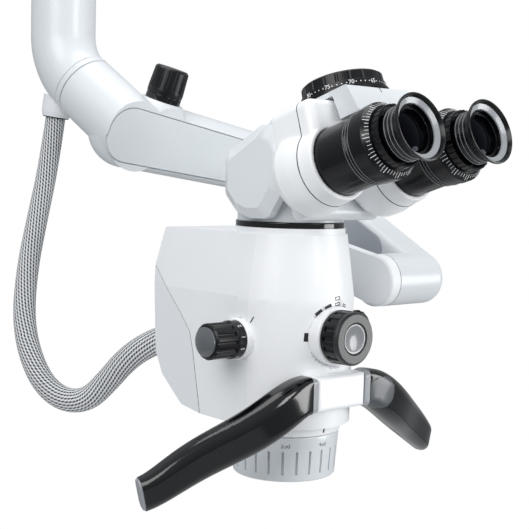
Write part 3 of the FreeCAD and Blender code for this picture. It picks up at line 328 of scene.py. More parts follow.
def coat(piece: bpy.types.Object, finish: Finish) -> None:
    """Give an object one finish all over."""
    piece.data.materials.clear()
    piece.data.materials.append(finish.material())


def seat(piece: bpy.types.Object, body: str, slot: str, nodes: Sequence[str] = ()) -> bpy.types.Object:
    """Bind a finished piece to its body and hide the nodes it stands for.

    Args:
        piece: Finished object at the origin.
        body: Body that carries it.
        slot: Material slot of the record; not used.
        nodes: CAD nodes that it replaces.

    Returns:
        The same object.
    """
    if nodes:
        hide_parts(*nodes)
    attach(piece, body)
    LOG.info("piece %s rides on %s", piece.name, body)
    return piece


def smooth(piece: bpy.types.Object, degrees: float = 32.0) -> None:
    """Smooth shading that keeps edges sharper than an angle."""
    activate(piece)
    bpy.ops.object.shade_smooth_by_angle(angle=math.radians(degrees))
    deselect()


def settle(piece: bpy.types.Object, where: Matrix) -> bpy.types.Object:
    """Move an object's place into its mesh, through a local frame."""
    deselect()
    piece.data.transform(where @ piece.matrix_world)
    piece.matrix_world = Matrix.Identity(4)
    return piece


def lathe(name: str, profile: Sequence[tuple[float, float]], where: Matrix, segments: int = 128) -> bpy.types.Object:
    """Turned ring whose closed section is given as (radius, height) corners in millimetres.

    Args:
        name: Name of the object.
        profile: Corners of the section, in order.
        where: Local frame whose Z is the ring's axis.
        segments: Sides of the ring.

    Returns:
        The ring with its place in its mesh.
    """
    deselect()
    radius, height = profile[0]
    bpy.ops.mesh.primitive_circle_add(vertices=segments, radius=radius * MM, fill_type="NOTHING",
                                      location=(0.0, 0.0, 0.0), enter_editmode=True)
    bpy.ops.mesh.select_all(action="SELECT")
    bpy.ops.transform.translate(value=(0.0, 0.0, height * MM))
    for next_radius, next_height in [*profile[1:], profile[0]]:
        bpy.ops.mesh.extrude_region_move()
        share = next_radius / radius
        bpy.ops.transform.resize(value=(share, share, 1.0), center_override=(0.0, 0.0, height * MM))
        bpy.ops.transform.translate(value=(0.0, 0.0, (next_height - height) * MM))
        radius, height = next_radius, next_height
    bpy.ops.mesh.select_all(action="SELECT")
    bpy.ops.mesh.remove_doubles(threshold=1e-6)
    bpy.ops.mesh.normals_make_consistent(inside=False)
    bpy.ops.object.mode_set(mode="OBJECT")
    piece = bpy.context.object
    piece.name = name
    settle(piece, where)
    smooth(piece)
    return piece


def plaque(name: str, size: tuple[float, float, float], corner: float, where: Matrix) -> bpy.types.Object:
    """Small flat plate with rounded corners and eased rims.

    Args:
        name: Name of the object.
        size: Width, height and thickness in millimetres.
        corner: Radius of the four corners in millimetres.
        where: Local frame at the plate's middle, Z outward.

    Returns:
        The plate with its place in its mesh.
    """
    deselect()
    bpy.ops.mesh.primitive_cube_add(size=1.0)
    piece = bpy.context.object
    piece.name = name
    piece.data.transform(Matrix.Diagonal((*[c * MM for c in size], 1.0)))
    bpy.ops.object.mode_set(mode="EDIT")
    bpy.ops.mesh.select_all(action="DESELECT")
    bpy.ops.object.mode_set(mode="OBJECT")
    for edge in piece.data.edges:
        ends = [piece.data.vertices[i].co for i in edge.vertices]
        edge.select = abs(ends[0].z - ends[1].z) > size[2] * MM * 0.5
    bpy.ops.object.mode_set(mode="EDIT")
    bpy.ops.mesh.select_mode(type="EDGE")
    bpy.ops.mesh.bevel(offset=corner * MM, segments=5, affect="EDGES")
    bpy.ops.object.mode_set(mode="OBJECT")
    return settle(piece, where)


def lettering(name: str, body: str, height: float, where: Matrix) -> bpy.types.Object:
    """Plain number as a thin raised print.

    Args:
        name: Name of the object.
        body: Digits to print.
        height: Height of the digits in millimetres.
        where: Local frame at the number's middle, Z outward.

    Returns:
        The number as a mesh.
    """
    deselect()
    bpy.ops.object.text_add()
    piece = bpy.context.object
    piece.name = name
    piece.data.body = body
    piece.data.size = height * MM * 1.4
    piece.data.align_x = "CENTER"
    piece.data.align_y = "CENTER"
    piece.data.extrude = 0.03 * MM
    piece.data.resolution_u = 4
    bpy.ops.object.convert(target="MESH")
    return settle(bpy.context.object, where)


def joined(name: str, pieces: Sequence[bpy.types.Object]) -> bpy.types.Object:
    """Several small objects as one."""
    deselect()
    for piece in pieces:
        piece.select_set(True)
    bpy.context.view_layer.objects.active = pieces[0]
    bpy.ops.object.join()
    pieces[0].name = name
    deselect()
    return pieces[0]


def round_place(where: Matrix, radius: float, height: float, angle: float, lean: float = 0.0) -> Matrix:
    """Frame on a turned surface: X along the rim, Y up the axis and Z outward.

    Args:
        where: Frame of the turned form.
        radius: Distance from its axis in millimetres.
        height: Height along its axis in millimetres.
        angle: Turn about its axis in radians.
        lean: Tilt of the surface toward the axis's positive end in radians.

    Returns:
        Matrix from local metres to the frame.
    """
    turn = Matrix.Rotation(angle, 4, "Z")
    out = Matrix.Translation((radius * MM, 0.0, height * MM))
    stand = Matrix(((0.0, 0.0, 1.0, 0.0), (1.0, 0.0, 0.0, 0.0), (0.0, 1.0, 0.0, 0.0), (0.0, 0.0, 0.0, 1.0)))
    return where @ turn @ out @ stand @ Matrix.Rotation(-lean, 4, "X")


def face_tree(node: str) -> BVHTree:
    """Search tree over a CAD node's faces."""
    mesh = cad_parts[node].data
    return BVHTree.FromPolygons([v.co for v in mesh.vertices], [p.vertices[:] for p in mesh.polygons])


def edit_all(piece: bpy.types.Object) -> None:
    """Open one object alone in edit mode with everything selected."""
    activate(piece)
    bpy.ops.object.mode_set(mode="EDIT")
    bpy.ops.mesh.select_all(action="SELECT")


def finish_with(piece: bpy.types.Object, kind: str, **settings: object) -> None:
    """Apply one modifier.

    Args:
        piece: Object that is active alone.
        kind: Blender's name of the modifier type.
        settings: Modifier attributes by name.
    """
    modifier = piece.modifiers.new(kind.lower(), kind)
    for name, value in settings.items():
        setattr(modifier, name, value)
    bpy.ops.object.modifier_apply(modifier=modifier.name)


def merged_copy(node: str, name: str) -> bpy.types.Object:
    """Copy of a CAD node with its triangles joined at their corners, left in edit mode.

    Args:
        node: CAD node to copy.
        name: Name of the copy.

    Returns:
        The copy, active alone with everything selected.
    """
    piece = bpy.data.objects.new(name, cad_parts[node].data.copy())
    bpy.context.scene.collection.objects.link(piece)
    edit_all(piece)
    bpy.ops.mesh.remove_doubles(threshold=MERGE_M)
    return piece


def refined(node: str, bevel_mm: float = 0.0, degrees: float = 32.0) -> bpy.types.Object:
    """Merged copy of a CAD node with flat faces joined, edges eased and smooth shading.

    Args:
        node: CAD node to copy.
        bevel_mm: Width of the eased edges, zero for none.
        degrees: Angle over which an edge stays sharp.

    Returns:
        The new object.
    """
    piece = merged_copy(node, node + "_skin")
    bpy.ops.mesh.dissolve_limited(angle_limit=math.radians(0.3))
    bpy.ops.object.mode_set(mode="OBJECT")
    if bevel_mm:
        finish_with(piece, "BEVEL", width=bevel_mm * MM, segments=2, limit_method="ANGLE",
                    angle_limit=math.radians(degrees), use_clamp_overlap=True)
    smooth(piece, degrees)
    level_shading(piece)
    return piece


def ease(piece: bpy.types.Object, width: float) -> None:
    """Round the sharp rims of a finished piece by a width in millimetres."""
    activate(piece)
    finish_with(piece, "BEVEL", width=width * MM, segments=3, limit_method="ANGLE")
    smooth(piece, 40.0)


def level_shading(piece: bpy.types.Object) -> None:
    """Let large faces set the normals, so that flats stay flat beside curves."""
    activate(piece)
    finish_with(piece, "WEIGHTED_NORMAL", keep_sharp=True, weight=70)
    deselect()


def cast(node: str, voxel_mm: float, rounds: int) -> bpy.types.Object:
    """Copy of a CAD node with the soft edges and fillets of a painted casting.

    Args:
        node: CAD node to copy.
        voxel_mm: Size of the even mesh in millimetres.
        rounds: Smoothing rounds.

    Returns:
        The new object.
    """
    piece = merged_copy(node, node + "_cast")
    bpy.ops.object.mode_set(mode="OBJECT")
    finish_with(piece, "REMESH", mode="VOXEL", voxel_size=voxel_mm * MM)
    finish_with(piece, "SMOOTH", iterations=rounds)
    smooth(piece, 60.0)
    return piece


def dark_gap(piece: bpy.types.Object, other: str, reach: float = 0.7) -> None:
    """Paint shade on the faces that look at another node across a narrow gap, in the near black of the painted gap
    shade.

    Args:
        piece: Piece at one side of the gap.
        other: CAD node at the other side.
        reach: Widest gap in millimetres.
    """
    tree = face_tree(other)
    piece.data.materials.append(Finishes.seam.material())
    last = len(piece.data.materials) - 1
    for polygon in piece.data.polygons:
        start = polygon.center + polygon.normal * 0.01 * MM
        if tree.ray_cast(start, polygon.normal, reach * MM)[0] is not None:
            polygon.material_index = last


def seam_line(piece: bpy.types.Object, name: str, spot: Vector, normal: Vector, width: float) -> bpy.types.Object:
    """Thin dark band round a piece that paints the shade of its seam: a slice of its own form, a little proud.

    Args:
        piece: Piece that carries the seam.
        name: Name of the band.
        spot: Point on the slice in metres.
        normal: Direction across the slice.
        width: Width of the line in millimetres.

    Returns:
        The band.
    """
    line = bpy.data.objects.new(name, piece.data.copy())
    bpy.context.scene.collection.objects.link(line)
    edit_all(line)
    bpy.ops.transform.shrink_fatten(value=0.05 * MM)
    for point, side in ((spot, normal), (spot + normal * (width * MM), -normal)):
        bpy.ops.mesh.select_all(action="SELECT")
        bpy.ops.mesh.bisect(plane_co=point, plane_no=side, clear_inner=True, use_fill=True)
    bpy.ops.object.mode_set(mode="OBJECT")
    deselect()
    return line


class SubAssembly:
    """Pieces that are built together; each is dressed and bound once its form is done."""

    def build(self) -> None:
        """Make the meshes of the pieces and dress them."""
        raise NotImplementedError

    def dress(self, piece: bpy.types.Object, finish: Finish, body: str, slot: str,
              nodes: Sequence[str] = ()) -> None:
        """Give a piece one finish and bind it to what carries it.

        Args:
            piece: Finished object at the origin.
            finish: Finish all over.
            body: Body that carries it.
            slot: Material slot of the record.
            nodes: CAD nodes that it replaces.
        """
        coat(piece, finish)
        seat(piece, body, slot, nodes)

    def print_marks(self, name: str, pieces: Sequence[bpy.types.Object], finish: Finish, body: str,
                    slot: str) -> None:
        """Join small marks to one print and dress it.

        Args:
            name: Name of the print.
            pieces: Ticks, dots, numbers or lines.
            finish: Finish of the print.
            body: Body that carries the print.
            slot: Material slot of the record.
        """
        self.dress(joined(name, pieces), finish, body, slot)


@dataclass
class Carried(SubAssembly):
    """Sub-assembly whose pieces keep their CAD form and get eased edges and a finish.

    Attributes:
        body: Body that the nodes ride on.
        shown: Visible nodes with finish, record slot and eased edge in millimetres.
        hidden: Inner nodes with their finish.
    """

    body: str
    shown: dict[str, tuple[Finish, str, float]]
    hidden: dict[str, Finish] = field(default_factory=dict)

    def build(self) -> None:
        """Copy and ease the visible nodes and dress the inner ones."""
        for node, (finish, slot, bevel) in self.shown.items():
            self.dress(refined(node, bevel), finish, self.body, slot, [node])
        for node, finish in self.hidden.items():
            coat(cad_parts[node], finish)


@dataclass
class Hose(SubAssembly):
    """Grey braided hose from the gland under the elbow to the rear cover.

    Attributes:
        route: Control points in millimetres from the dovetail ring's centre.
        middle: Point where the two lengths meet.
        diameter: Nominal diameter in millimetres.
        widths: Diameter factors along the hose, from gland to inlet.
        around: Sides of the tube.
    """

    route: list[tuple[float, float, float]] = field(default_factory=lambda: [
        (-60.4, 195.5, 73.0), (-63.3, 200.0, 36.0), (-69.4, 205.0, -3.0), (-76.4, 207.0, -40.0),
        (-81.0, 205.0, -78.0), (-80.0, 197.0, -106.0), (-74.0, 186.0, -128.5), (-63.0, 174.0, -140.0),
        (-50.5, 161.0, -138.5), (-42.5, 147.0, -122.0), (-38.0, 131.0, -104.5), (-31.5, 112.0, -91.0),
        (-27.0, 98.5, -85.7)])
    middle: tuple[float, float, float] = (-80.5, 201.0, -92.0)
    diameter: float = 17.0
    widths: tuple[float, float] = (0.86, 1.14)
    around: int = 48

    def line(self) -> list[Vector]:
        """Points of the route's smooth spline, in metres."""
        curve = bpy.data.curves.new("hose_route", "CURVE")
        curve.dimensions = "3D"
        curve.resolution_u = 24
        spline = curve.splines.new("NURBS")
        spline.points.add(len(self.route) - 1)
        for point, spot in zip(spline.points, self.route):
            point.co = (*head_point(*spot), 1.0)
        spline.order_u = 3
        spline.use_endpoint_u = True
        holder = bpy.data.objects.new("hose_route", curve)
        bpy.context.scene.collection.objects.link(holder)
        bpy.context.view_layer.update()
        mesh = bpy.data.meshes.new_from_object(holder)
        points = [vertex.co.copy() for vertex in mesh.vertices]
        bpy.data.objects.remove(holder)
        return points

    def build(self) -> None:
        """Split the line at its middle and make the two lengths."""
        points = self.line()
        middle = head_point(*self.middle)
        split = min(range(len(points)), key=lambda i: (points[i] - middle).length)
        total = sum((b - a).length for a, b in zip(points, points[1:]))
        first = sum((b - a).length for a, b in zip(points[:split + 1], points[1:split + 1]))
        self.length_of("hose_upper_braid", points[:split + 1], 0.0, total, "hose_upper", ("column", "arm"))
        self.length_of("hose_lower_braid", points[split:], first, total, "hose_lower", ("arm", "head"))

    def length_of(self, name: str, points: list[Vector], done: float, total: float, node: str,
                  bodies: tuple[str, str]) -> None:
        """Mesh tube along part of the line.

        Args:
            name: Name of the piece.
            points: Centre line in metres.
            done: Length before the first point.
            total: Length of the whole hose.
            node: CAD node that it stands for.
            bodies: Bodies at its start and end; not used.
        """
        verts: list[Vector] = []
        faces: list[tuple[int, ...]] = []
        side = Vector((1.0, 0.0, 0.0))
        run = [done]
        for a, b in zip(points, points[1:]):
            run.append(run[-1] + (b - a).length)
        for i, centre in enumerate(points):
            before = points[max(i - 1, 0)]
            after = points[min(i + 1, len(points) - 1)]
            along = (after - before).normalized()
            side = (side - along * along.dot(side)).normalized()
            other = along.cross(side)
            share = run[i] / total
            radius = self.diameter * MM / 2 * (self.widths[0] + (self.widths[1] - self.widths[0]) * share)
            for k in range(self.around):
                angle = 2 * math.pi * k / self.around
                verts.append(centre + (side * math.cos(angle) + other * math.sin(angle)) * radius)
        for i in range(len(points) - 1):
            for k in range(self.around):
                following = (k + 1) % self.around
                row = i * self.around
                faces.append((row + k, row + following, row + self.around + following, row + self.around + k))
        faces.append(tuple(reversed(range(self.around))))
        faces.append(tuple(range((len(points) - 1) * self.around, len(points) * self.around)))
        mesh = bpy.data.meshes.new(name)
        mesh.from_pydata(verts, [], faces)
        layer = mesh.uv_layers.new(name="along")
        for polygon in mesh.polygons:
            if len(polygon.vertices) != 4:
                continue
            for loop, vertex in zip(polygon.loop_indices, polygon.vertices):
                ring, k = divmod(vertex, self.around)
                wraps = k == 0 and (self.around - 1) in [v % self.around for v in polygon.vertices]
                layer.data[loop].uv = ((self.around if wraps else k) / self.around, run[ring])
        piece = bpy.data.objects.new(name, mesh)
        bpy.context.scene.collection.objects.link(piece)
        coat(piece, Finishes.braid)
        smooth(piece, 60.0)
        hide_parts(node)
        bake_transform(piece)


@dataclass
class Studio:
    """Pale floor, soft lights and the camera at the photograph's viewing angle.

    Attributes:
        focal_px: Focal length in pixels.
        frame_px: Width of the photograph in pixels.
        azimuth: Camera's angle round the head, in radians.
        elevation: Camera's height angle, in radians.
        roll: Turn of the picture, in radians.
        shift: Offset of the aim point in millimetres.
        distance: Distance of the camera in millimetres.
        lamps: Name, place in millimetres, size in metres and power of each lamp.
    """

    focal_px: float = 1150.0
    frame_px: float = 529.0
    azimuth: float = -0.744223
    elevation: float = 0.079769
    roll: float = 0.026228
    shift: tuple[float, float] = (17.27, 25.63)
    distance: float = 770.11
    lamps: tuple[tuple[str, tuple[float, float, float], float, float], ...] = (
        ("key", (-950.0, -300.0, 520.0), 0.8, 6.2),
        ("front", (190.0, -1000.0, 330.0), 0.42, 3.0),
        ("side", (870.0, -880.0, -70.0), 0.6, 5.6),
        ("top", (-60.0, 120.0, 950.0), 0.8, 4.0),
    )

    def build(self) -> None:
        """Make the camera, the floor and the lights."""
        self.camera()
        self.floor()
        self.lights()

    def axes(self) -> tuple[Vector, Vector, Vector]:
        """Right, up and back directions of the camera."""
        sin_a, cos_a = math.sin(self.azimuth), math.cos(self.azimuth)
        sin_e, cos_e = math.sin(self.elevation), math.cos(self.elevation)
        back = Vector((sin_a * cos_e, -cos_a * cos_e, sin_e))
        level = Vector((cos_a, sin_a, 0.0))
        up = back.cross(level)
        right = level * math.cos(self.roll) + up * math.sin(self.roll)
        top = up * math.cos(self.roll) - level * math.sin(self.roll)
        return right, top, back

    def surface_at(self, pixel: tuple[float, float], node: str, turn: float = 0.0) -> Matrix:
        """Frame on a CAD node's surface where a pixel's line of sight meets it.

        Args:
            pixel: Column and row of the photograph.
            node: CAD node that carries the mark.
            turn: Turn about the surface's normal in degrees.

        Returns:
            Frame with X level and Z outward.
        """
        right, up, back = self.axes()
        middle = self.frame_px / 2
        ray = right * (pixel[0] - middle) + up * (middle - pixel[1]) - back * self.focal_px
        start = head_point(*(back * self.distance - right * self.shift[0] - up * self.shift[1]))
        spot, normal, _, _ = face_tree(node).ray_cast(start, ray.normalized())
        if spot is None:
            raise ValueError("no surface of " + node + " at " + str(pixel))
        if normal.dot(ray) > 0.0:
            normal = -normal
        level = Z_DIR.cross(normal).normalized()
        rise = normal.cross(level)
        return axes_matrix(level, rise, normal, spot) @ Matrix.Rotation(math.radians(turn), 4, "Z")

    def camera(self) -> None:
        """Camera fitted to the photograph."""
        right, up, back = self.axes()
        data = bpy.data.cameras.new("camera")
        data.sensor_width = 36.0
        data.sensor_fit = "HORIZONTAL"
        data.lens = data.sensor_width * self.focal_px / self.frame_px
        data.clip_start = 0.01
        spot = back * self.distance - right * self.shift[0] - up * self.shift[1]
        camera = bpy.data.objects.new("camera", data)
        camera.matrix_world = axes_matrix(right, up, back, head_point(*spot))
        bpy.context.scene.collection.objects.link(camera)
        bpy.context.scene.camera = camera

    def floor(self) -> None:
        """Plain pale floor at a floor stand's depth below the head."""
        deselect()
        bpy.ops.mesh.primitive_circle_add(vertices=96, radius=2.3, fill_type="NGON",
                                          location=head_point(0.0, 0.0, -1250.0))
        floor = bpy.context.object
        floor.name = "floor"
        settle(floor, Matrix.Identity(4))
        coat(floor, Finish("pale_floor", "F4F4F4", "F2F2F2", 0.8))

    def lights(self) -> None:
        """White backdrop, grey surroundings that darken downward, and soft lamps."""
        world = bpy.data.worlds.new("studio")
        world.use_nodes = True
        tree = world.node_tree
        coords = add_node(tree, "ShaderNodeTexCoord")
        parts = add_node(tree, "ShaderNodeSeparateXYZ", inputs={"Vector": coords.outputs["Generated"]})
        share = add_node(tree, "ShaderNodeMapRange", inputs={
            "Value": parts.outputs["Z"], "From Min": -0.6, "From Max": 0.8})
        tone = add_node(tree, "ShaderNodeMix", {"data_type": "RGBA"}, {
            "Factor": share.outputs["Result"], 6: linear("7C7F82"), 7: linear("C2C4C6")})
        path = add_node(tree, "ShaderNodeLightPath")
        seen = add_node(tree, "ShaderNodeMix", {"data_type": "RGBA"}, {
            "Factor": path.outputs["Is Camera Ray"], 6: tone.outputs[2], 7: linear("FFFFFF")})
        background = tree.nodes["Background"]
        tree.links.new(seen.outputs[2], background.inputs["Color"])
        bpy.context.scene.world = world
        bpy.context.scene.view_settings.view_transform = "Standard"
        for name, spot, size, power in self.lamps:
            data = bpy.data.lights.new(name, "AREA")
            data.shape = "DISK"
            data.size = size
            data.energy = power
            lamp = bpy.data.objects.new(name, data)
            where = head_point(*spot)
            aim = head_point(0.0, 0.0, -20.0)
            facing = (where - aim).to_track_quat("Z", "Y").to_matrix().to_4x4()
            lamp.matrix_world = Matrix.Translation(where) @ facing
            bpy.context.scene.collection.objects.link(lamp)


@dataclass
class Housing(SubAssembly):
    """Main housing, enamel round the nose and textured on the flat sides, and its rear cover.

    Attributes:
        split_y: Line on the sides where the texture starts, in millimetres.
        cover_edge_mm: Eased edge of the rear cover.
    """

    split_y: float = -8.0
    cover_edge_mm: float = 0.5

    def build(self) -> None:
        """Cut the faces at the line and give each part its finish."""
        piece = refined("main_housing")
        edit_all(piece)
        bpy.ops.mesh.bisect(plane_co=head_point(0.0, self.split_y, 0.0), plane_no=(0.0, 1.0, 0.0))
        bpy.ops.object.mode_set(mode="OBJECT")
        coat(piece, Finishes.nose)
        piece.data.materials.append(Finishes.shell.material())
        line = head_point(0.0, self.split_y, 0.0).y
        middle = head_point(0.0, 0.0, 0.0).x
        for polygon in piece.data.polygons:
            on_side = abs(polygon.normal.x) > 0.7 and abs(polygon.center.x - middle) > 30 * MM
            if on_side and polygon.center.y > line:
                polygon.material_index = 1
        # Painted shade on the housing's faces in the gap to the rear cover.
        dark_gap(piece, "rear_cover")
        smooth(piece, 25.0)
        level_shading(piece)
        seat(piece, "head", "white_paint", ["main_housing"])
        cover = refined("rear_cover", self.cover_edge_mm)
        coat(cover, Finishes.cover)
        # Painted shade on the cover's faces in the gap to the housing.
        dark_gap(cover, "main_housing")
        seat(cover, "head", "cover_white", ["rear_cover"])


@dataclass
class RollRing(SubAssembly):
    """Ring of the roll joint between two grooves.

    Attributes:
        radius: Outer radius in millimetres.
        bore: Radius of the hole for the roll shaft.
        start: Distance of its lower face from the elbow's centre.
        end: Distance of its upper face from the elbow's centre.
        groove: Width of the groove at each side.
    """

    radius: float = 24.3
    bore: float = 12.2
    start: float = 23.6
    end: float = 29.6
    groove: float = 0.8

    def build(self) -> None:
        """Turn the ring with a step at each side."""
        step = self.radius - 1.3
        profile = [(self.bore, self.start), (step, self.start), (step, self.start + self.groove),
                   (self.radius - 0.2, self.start + self.groove), (self.radius, self.start + self.groove + 0.2),
                   (self.radius, self.end - self.groove - 0.2), (self.radius - 0.2, self.end - self.groove),
                   (step, self.end - self.groove), (step, self.end), (self.bore, self.end)]
        ring = lathe("roll_ring_turned", profile, place(ELBOW, ROLL_DIR))
        self.dress(ring, Finishes.arm_enamel, "column", "bare_aluminium", ["roll_ring"])


@dataclass
class LightCollar(SubAssembly):
    """White collar of the light knob, with a rounded rim and a fine gap to the housing.

    Attributes:
        radius: Outer radius in millimetres.
        bore: Radius of the knob's shaft hole.
        seat: Distance of its seat from the optical axis.
        base: Distance of its front face from the optical axis.
        level: Height of the knob's axis.
    """

    radius: float = 19.3
    bore: float = 4.2
    seat: float = 36.0
    base: float = 47.9
    level: float = -68.6

    def build(self) -> None:
        """Turn the collar."""
        r, base = self.radius, self.base
        where = place(Vector((0.0, 0.0, self.level)), -Y_DIR)
        profile = [(self.bore, self.seat), (r, self.seat), (r, base - 1.7), (r - 0.13, base - 1.05),
                   (r - 0.5, base - 0.5), (r - 1.05, base - 0.13), (r - 1.7, base), (self.bore, base)]
        ring = lathe("light_collar_turned", profile, where)
        self.dress(ring, Finishes.nose, "head", "gloss_white", ["light_collar"])


@dataclass
class TiltSeam(SubAssembly):
    """Dark ring that paints the shade in the gap between the bracket's hub and the arm's drum.

    Attributes:
        radius: Outer radius in millimetres.
        bore: Inner radius.
        start: Distance of its inner face from the head's middle.
        end: Distance of its outer face.
    """

    radius: float = 18.45
    bore: float = 9.0
    start: float = 79.62
    end: float = 79.98

    def build(self) -> None:
        """Turn the flat ring of painted shade that fills the gap."""
        where = place(TILT_CENTRE, X_DIR, Y_DIR)
        profile = [(self.bore, self.start), (self.radius, self.start), (self.radius, self.end), (self.bore, self.end)]
        ring = lathe("tilt_gap_shade", profile, where)
        self.dress(ring, Finishes.seam, "head", "black_rubber")


@dataclass
class GlandMouth(SubAssembly):
    """Black ring in the mouth of the gland under the elbow: painted shade of the dark mouth round the hose.

    Attributes:
        inner: Radius of its hole in millimetres.
        outer: Outer radius.
        mouth: Middle of the gland's mouth.
        down: Direction in which the hose leaves.
    """

    inner: float = 7.2
    outer: float = 9.7
    mouth: tuple[float, float, float] = (-60.4, 195.5, 73.0)
    down: tuple[float, float, float] = (-2.9, 4.5, -37.0)

    def build(self) -> None:
        """Turn the ring of painted shade round the hose."""
        where = place(Vector(self.mouth), Vector(self.down))
        profile = [(self.inner, -2.0), (self.outer, -2.0), (self.outer, 0.3), (self.outer - 0.5, 0.7),
                   (self.inner + 0.5, 0.7), (self.inner, 0.3)]
        ring = lathe("gland_mouth_shade", profile, where, 64)
        self.dress(ring, Finishes.rubber, "column", "black_rubber")


@dataclass
class EyeRim(SubAssembly):
    """Light ring inside an eyecup that paints the reflection of the rubber's inner cone, painted highlight rings on
    the eyecup and barrel, and the printed scale of its dioptre ring.

    Attributes:
        side: Minus one for the left eye, one for the right.
        ticks: Marks round the dioptre ring's bevel.
        bevel: Radius and height of the bevel's near rim, then of its far rim, in millimetres.
        cup_ridges: Radius and height of each painted highlight ring on the eyecup's ridges.
        barrel_ridges: Radius and height of each painted highlight ring on the barrel's ridges.
    """

    side: int
    ticks: int = 60
    bevel: tuple[float, float, float, float] = (20.2, 22.2, 23.4, 26.0)
    cup_ridges: tuple[tuple[float, float], ...] = ((16.6, 8.5), (16.6, 11.4), (16.6, 14.2))
    barrel_ridges: tuple[tuple[float, float], ...] = ((22.9, 36.6), (22.5, 39.0), (22.1, 41.5))

    @property
    def name(self) -> str:
        """Word for the side."""
        return "left" if self.side < 0 else "right"

    def build(self) -> None:
        """Make the light ring of painted reflection, the scale and the painted highlight rings."""
        where = place(rim_point(self.side), -EYE_DIR)
        # Painted reflection: a light ring where the rubber's inner cone mirrors the light.
        self.bezel(where)
        self.scale(where)
        # The light rings on the eyecup and the barrel are painted highlights of their ridges.
        self.ring_lines(where, "eyecup_" + self.name, self.cup_ridges)
        self.ring_lines(where, "ocular_" + self.name, self.barrel_ridges)

    def ring_lines(self, where: Matrix, body: str, rings: Sequence[tuple[float, float]]) -> None:
        """Thin light-grey rings that paint the highlights where turned ridges catch the light.

        Args:
            where: Frame of the eyepiece.
            body: Body that carries the painted highlight rings.
            rings: Radius and height of each line in millimetres.
        """
        lines = []
        for r, h in rings:
            profile = [(r - 0.5, h - 0.16), (r, h - 0.08), (r, h + 0.08), (r - 0.5, h + 0.16)]
            lines.append(lathe("painted_highlight_ring", profile, where))
        # The light grey of the bezel finish paints these highlights.
        self.print_marks("painted_highlights_" + body, lines, Finishes.bezel, body, "grey_plastic")

    def bezel(self, where: Matrix) -> None:
        """Light conical ring between the rubber rim and the dark bore: a painted reflection of the rubber's inner
        cone.
        """
        profile = [(14.95, 4.7), (15.2, 4.0), (18.1, 2.6), (18.3, 3.0), (18.0, 4.4), (15.2, 5.2)]
        ring = lathe("eyecup_painted_reflection_" + self.name, profile, where)
        self.dress(ring, Finishes.bezel, "eyecup_" + self.name, "grey_plastic")

    def scale(self, where: Matrix) -> None:
        """White ticks and numbers on the bevel, every fifth tick longer."""
        low_r, low_h, high_r, high_h = self.bevel
        rise_r, rise_h = high_r - low_r, high_h - low_h
        lean = math.atan2(rise_r, rise_h)
        slant = math.hypot(rise_r, rise_h)
        pieces = []
        for i in range(self.ticks):
            width, part, share = (0.42, 0.8, 0.42) if i % 5 == 0 else (0.3, 0.5, 0.28)
            angle = 2 * math.pi * i / self.ticks
            spot = round_place(where, low_r + rise_r * share, low_h + rise_h * share, angle, -lean)
            pieces.append(plaque("tick", (width, slant * part, INK_MM), 0.1, spot))
        for i in range(0, self.ticks, 5):
            angle = 2 * math.pi * (i + 0.5) / self.ticks + 0.04
            spot = round_place(where, low_r + rise_r * 0.72, low_h + rise_h * 0.72, angle, -lean)
            upright = spot @ Matrix.Rotation(math.pi, 4, "Z")
            pieces.append(lettering("number", str(abs(i // 5 - 6)), 1.5, upright))
        self.print_marks("dioptre_scale_" + self.name, pieces, Finishes.ink_white, "diopter_" + self.name,
                         "gloss_white")


@dataclass
class DialScale(SubAssembly):
    """White eye distance numbers and dots on the dial's flange, and the index line beside it.

    Attributes:
        studio: Camera that places the index line.
        turn_per_step: Turn of the dial for five millimetres of eye distance, in radians.
        band_r: Radius of the scale band in millimetres.
        height: Height of the numbers on the dial.
    """

    studio: Studio
    turn_per_step: float = 0.5556
    band_r: float = 27.5
    height: float = 4.3

    def build(self) -> None:
        """Print the numbers so that 64 faces the index."""
        where = place(EYE_DIR * 70.0 + EYE_UP * 62.5, EYE_UP)
        index = self.studio.surface_at((380.5, 90.0), "binocular_body", 8.0)
        local = where.inverted() @ index.translation
        start = math.atan2(local.y, local.x)
        band = lathe("eye_distance_band", [(25.0, 2.4), (self.band_r, 2.4), (self.band_r, 6.0),
                                           (self.band_r - 0.4, 6.4), (25.0, 6.4)], where)
        self.dress(band, Finishes.black_grip, "eye_distance_dial", "black_plastic")
        pieces = []
        for step in range(-3, 4):
            number = 65 + 5 * step
            angle = start - (5 * step + 1) / 5 * self.turn_per_step
            pieces.append(lettering("number", str(number), 2.7, self.spot(where, angle)))
            for dot in range(1, 5):
                turn = angle - dot / 5 * self.turn_per_step
                if number < 80:
                    pieces.append(plaque("dot", (0.7, 0.7, INK_MM), 0.3, self.spot(where, turn)))
        self.print_marks("eye_distance_scale", pieces, Finishes.ink_white, "eye_distance_dial", "gloss_white")
        line = plaque("eye_distance_index", (0.6, 3.6, INK_MM), 0.1, index)
        self.dress(line, Finishes.ink_black, "binocular", "black_plastic")

    def spot(self, where: Matrix, angle: float) -> Matrix:
        """Place on the scale band at a turn."""
        return round_place(where, self.band_r + 0.02, self.height, angle)


class MarkStyle(Enum):
    """How an index mark is printed."""

    SOLID = "solid"
    OPEN = "open"


